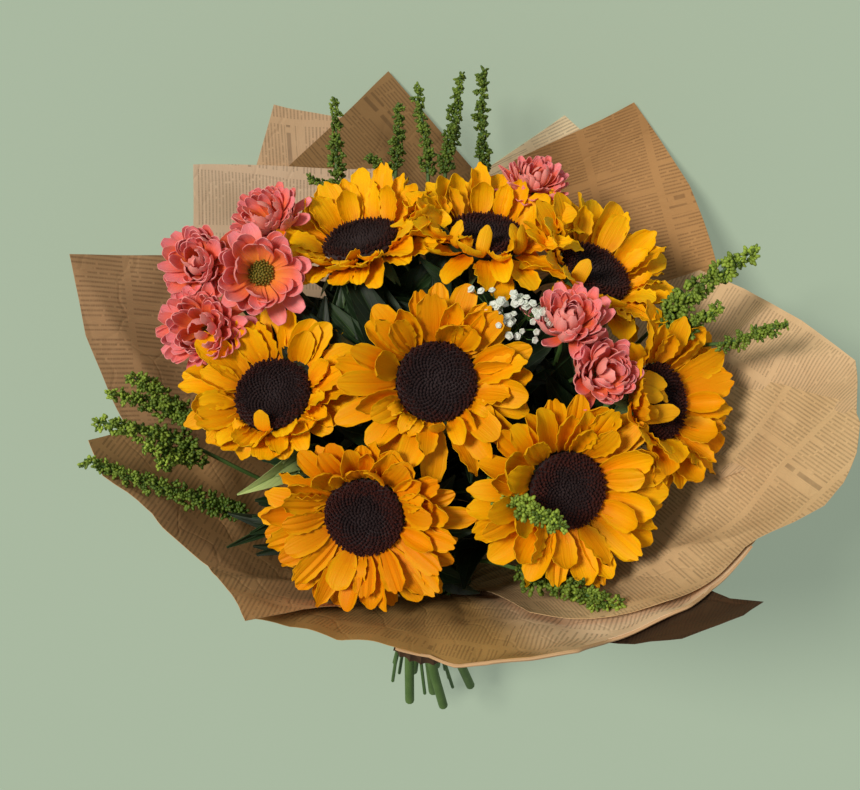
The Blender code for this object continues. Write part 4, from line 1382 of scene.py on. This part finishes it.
# %% [markdown]
# ## Green spikes
# Twelve knobbly green spikes stand out between the flowers, some of them with side arms. Each is a
# thin stem whose upper part is covered with lumps of tiny round buds. One cluster of three buds is
# modelled and set all over each lump, and the lumps go round the stem in golden-angle steps, smaller
# towards the tip, which gives the rough outline at low cost.

# %% One cluster of spike buds
# bud: (radius in mm, place in m)
CLUSTER_BUDS = ((1.25, (0, 0.0016, 0)), (1.05, (0.0012, 0.0004, 0.0008)), (1.05, (-0.0011, 0.0005, -0.0009)))
buds = [added(bpy.ops.mesh.primitive_ico_sphere_add, "spike_bud", subdivisions=1, radius=radius * MM,
              location=place) for radius, place in CLUSTER_BUDS]
spike_cluster = join_pieces("spike_cluster", *buds)
bpy.ops.object.transform_apply(location=True)
patterns.append(spike_cluster)
print("cluster of", len(spike_cluster.data.polygons), "faces")

# %% Spike material
spike_green = Recipe("spike_green", roughness=0.5, specular_ior_level=0.35)
spike_mottle = spike_green.noise(spike_green.place(), 500.0)
# The tone carries each bud's painted light and shade
spike_light = (spike_mottle * 0.6 + spike_green.value_of("tone")).range(0.3, 1.35)
spike_green.set(base_color=spike_light.mix((0.052, 0.10, 0.008), (0.50, 0.68, 0.08)))
spike_green.bump(spike_mottle, 0.5, 0.0006)
print("spike material ready")

# %% Where the spikes stand
# spike: (foot, tip, thickness), then the same for each side arm
SPIKES = {
    "1": (((-69, 180, 301), (-69, 228, 340), 5.2), ((-66, 176, 298), (-90, 182, 306), 4.2)),
    "2": (((-25, 187, 313), (-23, 222, 342), 5.4), ((-28, 186, 308), (-46, 192, 320), 4.6)),
    "3": (((-1, 185, 309), (-10, 238, 344), 5.0),),
    "4": (((10, 180, 314), (22, 237, 358), 5.4),),
    "5": (((39, 184, 315), (38, 232, 367), 5.0),),
    "6": (((158, 62, 288), (221, 92, 330), 9.6), ((166, 58, 284), (200, 66, 302), 8.0)),
    "7": (((202, 50, 277), (239, 39, 317), 5.2),),
    "8": (((-171, 27, 227), (-211, 39, 258), 7.4), ((-172, 24, 225), (-226, 30, 251), 6.8)),
    "9": (((-171, 10, 218), (-230, 7, 249), 7.4), ((-170, 4, 214), (-200, -7, 238), 6.6),
          ((-164, 0, 211), (-189, -18, 230), 6.2)),
    "10": (((-132, -37, 200), (-238, -19, 240), 6.8),),
    "11": (((36, -49, 246), (82, -102, 292), 8.4),),
    "12": (((62, -86, 206), (122, -127, 231), 10.0),),
}
# Painted light and shade of the buds at the foot and at the tip of each spike: buds in the bunch's shade, at
# the back and near the foot, are painted darker
SPIKE_PAINTED_LIGHT = {
    "1": (0.15, 0.50), "2": (0.10, 0.40), "3": (0.25, 0.50), "4": (0.05, 0.45), "5": (0.0, 0.40),
    "6": (0.5, 0.9), "7": (0.4, 0.7), "8": (0.3, 0.9), "9": (0.3, 1.0), "10": (0.0, 0.8),
    "11": (0.8, 0.9), "12": (0.3, 0.8),
}
print(len(SPIKES), "spikes,", sum(len(arms) - 1 for arms in SPIKES.values()), "side arms")

# %% Spikes
SPIKE_STEM = 1.5
LUMP_PITCH = 3.6
BENDS = 8


def aimed(direction, axis, up):
    """The matrix of a turn that points one of a shape's axes this way."""
    return direction.to_track_quat(axis, up).to_matrix().to_4x4()


for n, arms in SPIKES.items():
    node = "green_spike_" + n
    stems, placed = [], []
    for arm, (foot, tip, thickness) in enumerate(arms):
        foot, tip = Vector(foot), Vector(tip)
        sideways = (tip - foot).orthogonal().normalized() * wobble(3)
        line = stem_line(node, foot.z - 14) if arm == 0 else [arms[0][0]]
        radii = [SPIKE_STEM] * len(line) + [1.4 - 0.1 * k for k in range(BENDS + 1)]
        for k in range(BENDS + 1):
            line.append(foot.lerp(tip, k / BENDS) + sideways * math.sin(math.pi * k / BENDS))
        path = [to_world(p) for p in eased([list(p) for p in line])]
        stems.append(tube("spike_stem_" + n, path, radii, 1))
        turn_to_axis = aimed((to_world(tip) - to_world(foot)).normalized(), "Z", "Y")
        lumps = round((tip - foot).length / LUMP_PITCH)
        for k in range(lumps):
            share = (k + 0.5) / lumps
            spot = foot.lerp(tip, share) + sideways * math.sin(math.pi * share)
            swell = thickness * (1 - 0.45 * share) * chance.uniform(0.6, 1.15)
            # Painted light and shade along the spike, from foot to tip
            light = SPIKE_PAINTED_LIGHT[n][0] * (1 - share) + SPIKE_PAINTED_LIGHT[n][1] * share
            lump = (Matrix.Translation(to_world(spot)) @ turn_to_axis
                    @ Matrix.Rotation(k * GOLDEN_ANGLE, 4, "Z") @ moved(0, 0.42 * swell, 0))
            for bud in range(round(4 + 1.2 * swell)):
                aim = Vector((chance.gauss(0, 1), chance.gauss(0.25, 1), chance.gauss(0, 1))).normalized()
                size = 0.74 + 0.08 * swell + chance.uniform(-0.1, 0.15)
                place = (lump @ Matrix.Translation(aim * 0.52 * swell * MM) @ aimed(aim, "Y", "Z")
                         @ Matrix.Diagonal((0.85 * size, 1.4 * size, 0.85 * size, 1)))
                placed.append((spike_cluster, place, light * chance.uniform(0.0, 0.8)))
    hand_over(join_pieces("spike_stem_" + n, *stems), thin_green, "green_spike", node)
    buds = set_out("spike_buds_" + n, placed, spike_green.material, "green_spike", node, node, 9, 80)
print("spike 12 has", len(placed), "clusters and", len(buds.data.polygons), "faces")

# %% [markdown]
# ## Baby's breath
# A single sprig of baby's breath stands among the flowers: one thin stem that forks into hair-thin
# twigs, each ending in a small crumpled white flower.

# %% Little white flower
WHITE_SIDES = 10
white_flower = stack_of_rings("white_flower", WHITE_SIDES, (
    (0.7, -1.6), (1.3, -1.0), (2.5, 0.6), (2.0, 1.0), (1.3, 0.5), (1.5, 1.6), (0.7, 1.4)))
open_to_edit(white_flower)
select_points(white_flower, lambda p: p.index % WHITE_SIDES % 2 == 1 and p.co.z > 0)
bpy.ops.transform.resize(value=(0.86, 0.86, 0.9), center_override=(0, 0, 0))
close_edit()
baby_white = speckled("baby_white", 600.0, 2.0, 0.75, (0.88, 0.90, 0.84), (0.62, 0.68, 0.56), 0.4, 0.0005,
                      roughness=0.6, specular_ior_level=0.3, subsurface_weight=0.1,
                      subsurface_radius=(0.001, 0.001, 0.001))
print("white flower of", len(white_flower.data.polygons), "faces")

# %% The sprig
SPRIG_FORK = Vector((56, 42, 304))
# middle of each tuft in the bunch frame, and its flowers
SPRIG_TUFTS = (
    ((42, 42, 339), 10), ((50, 34, 334), 7), ((46, 30, 331), 7), ((66, 40, 335), 10), ((74, 37, 333), 8),
    ((30, 48, 341), 2), ((77, 28, 322), 2), ((64, 26, 318), 3), ((56, 44, 340), 3), ((58, 29, 327), 3),
)
sprig_line = [Vector(p) for p in stem_line("babys_breath", SPRIG_FORK.z - 10)] + [SPRIG_FORK]
sprig_stem = tube("sprig_stem", [to_world(p) for p in sprig_line], [1.2] * len(sprig_line), 1)
hand_over(sprig_stem, thin_green, "babys_breath", "babys_breath")
twigs, flowers = [], []
for tuft, count in SPRIG_TUFTS:
    tuft = Vector(tuft)
    knot = SPRIG_FORK.lerp(tuft, 0.55) + Vector((wobble(3), wobble(3), 0))
    twigs.append((SPRIG_FORK, knot, 0.6))
    for _ in range(count):
        bud = tuft + Vector((wobble(7), wobble(6), chance.uniform(-7, 4)))
        twigs.append((knot, bud, 0.35))
        turn = aimed((to_world(bud) - to_world(knot)).normalized(), "Z", "Y")
        size = Matrix.Scale(chance.uniform(0.85, 1.35), 4)
        flowers.append((white_flower, Matrix.Translation(to_world(bud)) @ turn @ size, 0.5))
for index, (start, end, radius) in enumerate(twigs):
    bow = (start + end) / 2 + Vector((wobble(1.5), wobble(1.5), 0))
    twigs[index] = tube("sprig_twig_" + str(index), [to_world(p) for p in (start, bow, end)], [radius] * 3, 0)
hand_over(join_pieces("sprig_twigs", *twigs), thin_green, "babys_breath", "babys_breath")
set_out("sprig_flowers", flowers, baby_white, "babys_breath", "babys_breath", "sprig", 4, 60)
print(len(flowers), "white flowers")

# %% [markdown]
# ## Sunflower petals
# Each head has about fifty petals: an outer row that lies open, an inner row that stands up a little,
# and a few short ones. On the crowded heads the short ones at the foot fold in over the middle. Real
# petals have two or three long grooves and each has its own way of bending, so nine shapes are
# modelled and mixed. Every petal is turned, rolled and sized a little differently.

# %% Nine petal shapes
BROAD = (0.42, 0.66, 0.84, 0.95, 1.0, 1.0, 0.99, 0.95, 0.84, 0.54)
POINTED = (0.38, 0.62, 0.83, 0.95, 1.0, 0.99, 0.95, 0.86, 0.68, 0.32)
ROUND_TIP = (2.6, 1.0, 0.2, 0, 0.2, 1.0, 2.6)
NOTCHED_TIP = (3.4, 0.8, 0.2, 2.6, 0, 1.0, 3.6)
# petal: (length, width, outline, profile, curl of each row, twist, tip, ruffle of the edges)
PETAL_SHAPES = {
    "open": (38, 18, BROAD, (2.0, 0.4, 1.3, 0, 1.3, 0.4, 2.0), (9, 5, 2, 0, -3, -5, -5, -5, -3),
             0, ROUND_TIP, 0.8),
    "notched": (38, 19.5, BROAD, (2.4, 0.3, 1.4, -0.3, 1.2, 0.4, 2.0), (8, 4, 2, 0, -2, -3, 0, 5, 8),
                6, NOTCHED_TIP, 1.1),
    "cupped": (36, 19, BROAD, (4.2, 1.5, 0.9, 0, 0.9, 1.5, 4.2), (6, 4, 3, 2, 2, 4, 7, 11, 14),
               0, ROUND_TIP, 0.7),
    "drooping": (39, 17, POINTED, (1.2, 0.3, 0.7, 0, 0.7, 0.3, 1.2), (14, 6, 0, -6, -10, -11, -10, -8, -6),
                 0, ROUND_TIP, 1.1),
    "twisted": (38, 16, POINTED, (2.4, 0.6, 0.7, 0, 0.5, 0.3, 1.0), (7, 4, 1, 0, -2, -3, -3, -2, 0),
                42, ROUND_TIP, 1.2),
    "rolled": (36, 18, BROAD, (6.4, 2.8, 0.7, 0, 0.3, 0.2, 1.0), (8, 4, 2, 0, -2, -3, -4, -6, -8),
               -16, ROUND_TIP, 0.6),
    "pinched": (37, 16, POINTED, (5.6, 2.8, 0.8, 0, 0.8, 2.8, 5.6), (4, 2, 1, 0, 1, 3, 6, 10, 14),
                8, ROUND_TIP, 0.9),
    "scooped": (34, 19, BROAD, (3.4, 1.0, 0.8, 0, 0.8, 1.0, 3.4), (2, 4, 8, 12, 15, 16, 14, 8, -4),
                0, ROUND_TIP, 0.6),
    "folded": (35, 18, BROAD, (2.6, 0.8, 0.8, 0, 0.8, 0.8, 2.6), (18, 18, 16, 14, 10, 6, 4, 2, 0),
               10, ROUND_TIP, 0.6),
}
PETALS = {name: blade("petal_" + name, *sizes) for name, sizes in PETAL_SHAPES.items()}
OPEN_PETALS = ("open", "open", "notched", "drooping", "twisted", "rolled", "cupped")
STANDING_PETALS = ("cupped", "notched", "pinched", "rolled", "open", "twisted")
FRONT_PETALS = ("scooped", "scooped", "cupped", "rolled", "folded", "drooping")
print("petal of", len(PETALS["open"].data.polygons), "faces")

# %% [markdown]
# ### Petal colour
# A sunflower petal is warm yellow with an orange foot, fine lines that run along it, and a slightly
# duller back. The colour follows the petal's own layout, foot to tip, and every petal shifts it a
# little. Heads that face away from the light are painted a darker orange: painted shade.

# %% Petal material
petal_yellow = Recipe("petal_yellow", roughness=0.55, specular_ior_level=0.12, subsurface_weight=0.12,
                      subsurface_radius=(0.005, 0.002, 0.0004))
petal_u, petal_v = petal_yellow.parts(petal_yellow.sheet_place("shape"))
petal_tone = petal_yellow.value_of("tone")
petal_lines = petal_yellow.streaks(3.0, petal_u * 11.0, petal_v * 0.9, petal_tone * 60.0)
petal_cloud = petal_yellow.streaks(2.0, petal_u * 2.0, petal_v * 3.0, petal_tone * 90.0)
petal_reach = petal_v + (petal_cloud - 0.5) * 0.5
petal_colour = petal_reach.range(0.0, 0.34).mix((0.74, 0.20, 0.0), (0.98, 0.43, 0.0))
petal_colour = petal_reach.range(0.35, 0.95).mix(petal_colour, (1.0, 0.56, 0.002))
# Towards a darker orange with the tone: partly each petal's own tone, partly painted shade on heads that face
# away from the light
petal_colour = petal_tone.range(0.0, 1.8, 0.0, 0.85).mix(petal_colour, (0.74, 0.20, 0.0))
petal_colour = abs(petal_u - 0.5).range(0.30, 0.50, 0.0, 0.35).mix(petal_colour, (1.0, 0.64, 0.004))
petal_colour = petal_lines.range(0.45, 0.75, 0.0, 0.4).mix(petal_colour, (0.80, 0.26, 0.0))
back_share = petal_yellow.value_of("under") * 0.45
petal_yellow.set(base_color=back_share.mix(petal_colour, (0.78, 0.40, 0.008)))
petal_yellow.bump(petal_lines, 0.5, 0.0012)
print("petal material ready")

# %% Plan of each head's petals
# Petals are set on the heads in this order, and each head makes do with the room that is left.
SETTING_ORDER = "57648321"
# the reach of a petal at size 1, in mm
PETAL_REACH = 36
# head: (petals in a row, petal width, reach in mm, lift of the outer row, lift of the inner row,
#        extra lift at the top, extra lift at the foot, share of petals folded in at the foot,
#        how much shorter the foot is (or, below zero, the top), extra tone, which is painted shade)
PETAL_PLANS = {
    "1": (20, 0.98, 42, 8, 28, 8, -26, 0.10, 0.36, 0.0), "2": (20, 0.94, 41, 12, 32, 6, -32, 0.8, 0.15, 0.0),
    "3": (19, 0.98, 41, 8, 26, 6, -18, 0.2, 0.15, 0.0), "4": (20, 0.94, 40, 6, 24, 4, -6, 0.12, 0.40, 0.15),
    "5": (20, 0.98, 41, 6, 24, 8, -8, 0.5, -0.04, 0.55), "6": (24, 0.89, 44, 4, 18, 10, -6, 0.1, -0.32, 1.0),
    "7": (21, 0.96, 43, 6, 20, 6, -8, 0.1, 0.0, 0.3), "8": (18, 1.04, 41, 6, 22, 2, 30, 0.8, 0.25, 0.65),
}
# the side of the head that counts as its foot, in degrees from its top
FOOT_SIDE = {"8": 90}
# how far folded petals stand up beyond the inner row, in degrees
FOLD_LIFTS = {"2": (0, 30), "8": (24, 56)}
print("heads are set in the order", " ".join(SETTING_ORDER))

# %% Set the petals on each head
for n in SETTING_ORDER:
    head = HEADS[n]
    count, width, reach, outer, inner, at_top, at_foot, folded_share, foot_short, painted_shade = PETAL_PLANS[n]
    length = reach / PETAL_REACH
    tree = tree_without("sunflower_" + n)
    placed = []
    # row: (petals in it, distance from the middle, height, lift, shapes to choose from, length)
    rows = ((count, 27.0, 1.0, outer, OPEN_PETALS, 1.0), (count - 1, 27.2, 3.0, inner, STANDING_PETALS, 0.96),
            (count // 2, 27.0, 4.4, inner + 8, STANDING_PETALS, 0.7))
    for row, (row_count, root, height, lift, shapes, long) in enumerate(rows):
        for k in range(row_count):
            turn = (k + 0.5 * row + wobble(0.32)) * 2 * math.pi / row_count
            upwards = math.cos(turn + math.pi - math.radians(FOOT_SIDE.get(n, 180)))
            wish = lift + (at_top * max(upwards, 0) + at_foot * max(-upwards, 0)) + wobble(9)
            folded = row > 0 and upwards < -0.35 and chance.random() < folded_share
            pattern = PETALS[chance.choice(FRONT_PETALS if folded else shapes)]
            stretch = long * length * chance.uniform(0.86, 1.06) * (1 - max(-foot_short * upwards, 0))
            wide = width * chance.uniform(0.85, 1.15)
            if folded:
                wish = inner + chance.uniform(*FOLD_LIFTS.get(n, (0, 14)))
                stretch, wide = stretch * chance.uniform(0.46, 0.68), wide * 0.62
            base = head @ Matrix.Rotation(turn, 4, "Z") @ moved(0, root, height)
            place = settle(pattern, base, wish, wobble(14), (wide, stretch, 1), tree, 2.2)
            # The tone is each petal's own, plus the head's painted shade
            placed.append((pattern, place, chance.random() * 0.8 + painted_shade))
    set_out("sunflower_petals_" + n + "_soft", placed, petal_yellow.material, "sunflower_petals",
            "sunflower_petals_" + n, "sunflower_" + n)
    print("head", n, "has", len(placed), "petals")

# %% [markdown]
# ## Binding and tie
# Under the paper a rubber band holds the stems, and outside it a twine is wound round the wrap. Both
# lie in their packed places. The band is two flat windings, and the twine is four turns of two
# twisted strands drawn tight.

# %% Binding round the stems
BINDING_INNER, BINDING_HEIGHT, BINDING_THICK = 25.2, 14.0, 0.9
# the two windings swell outwards one above the other, by these shares of the radius
BAND_SWELL = (1, 1.022, 1.03, 1.022, 1, 1.022, 1.03, 1.022, 1)
rubber = speckled("binding_rubber", 400.0, 3.0, 0.7, (0.50, 0.38, 0.18), (0.62, 0.50, 0.28), 0.25, 0.0004,
                  roughness=0.6, specular_ior_level=0.4)

band = added(bpy.ops.mesh.primitive_circle_add, "rubber_band", vertices=72, radius=BINDING_INNER * MM,
             location=(0, 0, -BINDING_HEIGHT / 2 * MM))
bpy.ops.object.transform_apply(location=True)
open_to_edit(band)
for share in BAND_SWELL:
    step = BINDING_HEIGHT / len(BAND_SWELL) * MM
    bpy.ops.mesh.extrude_edges_move(TRANSFORM_OT_translate={"value": (0, 0, step)})
    points = bmesh.from_edit_mesh(band.data).verts
    radius = max(point.co.xy.length for point in points if point.select)
    grow = BINDING_INNER * MM * share / radius
    bpy.ops.transform.resize(value=(grow, grow, 1), center_override=(0, 0, 0))
close_edit()
band.data.transform(WORLD_FROM_BUNCH)
apply_modifier(band, "SOLIDIFY", thickness=BINDING_THICK * MM, offset=1)
hand_over(band, rubber, "binding", "stem_binding")
print("band", BINDING_HEIGHT, "mm wide")

# %% Twine round the wrap
TIE_INNER, TWINE_RADIUS, TWINE_TURNS, TWINE_RISE = 36.9, 0.58, 4, 7.0
# points and twists of the strands in each turn
TWINE_STEPS, TWINE_TWISTS = 120, 36
twine = speckled("twine", 1500.0, 3.0, 0.7, (0.36, 0.24, 0.12), (0.60, 0.44, 0.26), 0.6, 0.0004,
                 roughness=0.9, specular_ior_level=0.2, sheen_weight=0.3, sheen_roughness=0.5)

strands = []
for strand in range(2):
    path = []
    for k in range(TWINE_TURNS * TWINE_STEPS + 1):
        share = k / (TWINE_TURNS * TWINE_STEPS)
        around = 2 * math.pi * TWINE_TURNS * share
        spin = around * TWINE_TWISTS + strand * math.pi
        out = TIE_INNER + 1.2 + TWINE_RADIUS * math.cos(spin)
        rise = (share - 0.5) * TWINE_RISE + TWINE_RADIUS * math.sin(spin)
        path.append(to_world((out * math.cos(around), out * math.sin(around), rise)))
    strands.append(tube("twine_strand_" + str(strand), path, [TWINE_RADIUS] * len(path), 0))
turns = join_pieces("twine_turns", *strands)
hand_over(turns, twine, "tie", "wrap_tie")
print("twine:", TWINE_TURNS, "turns,", len(turns.data.polygons), "faces")

# %% Tidy up: remove the modelled patterns
for pattern in patterns:
    bpy.data.objects.remove(pattern)
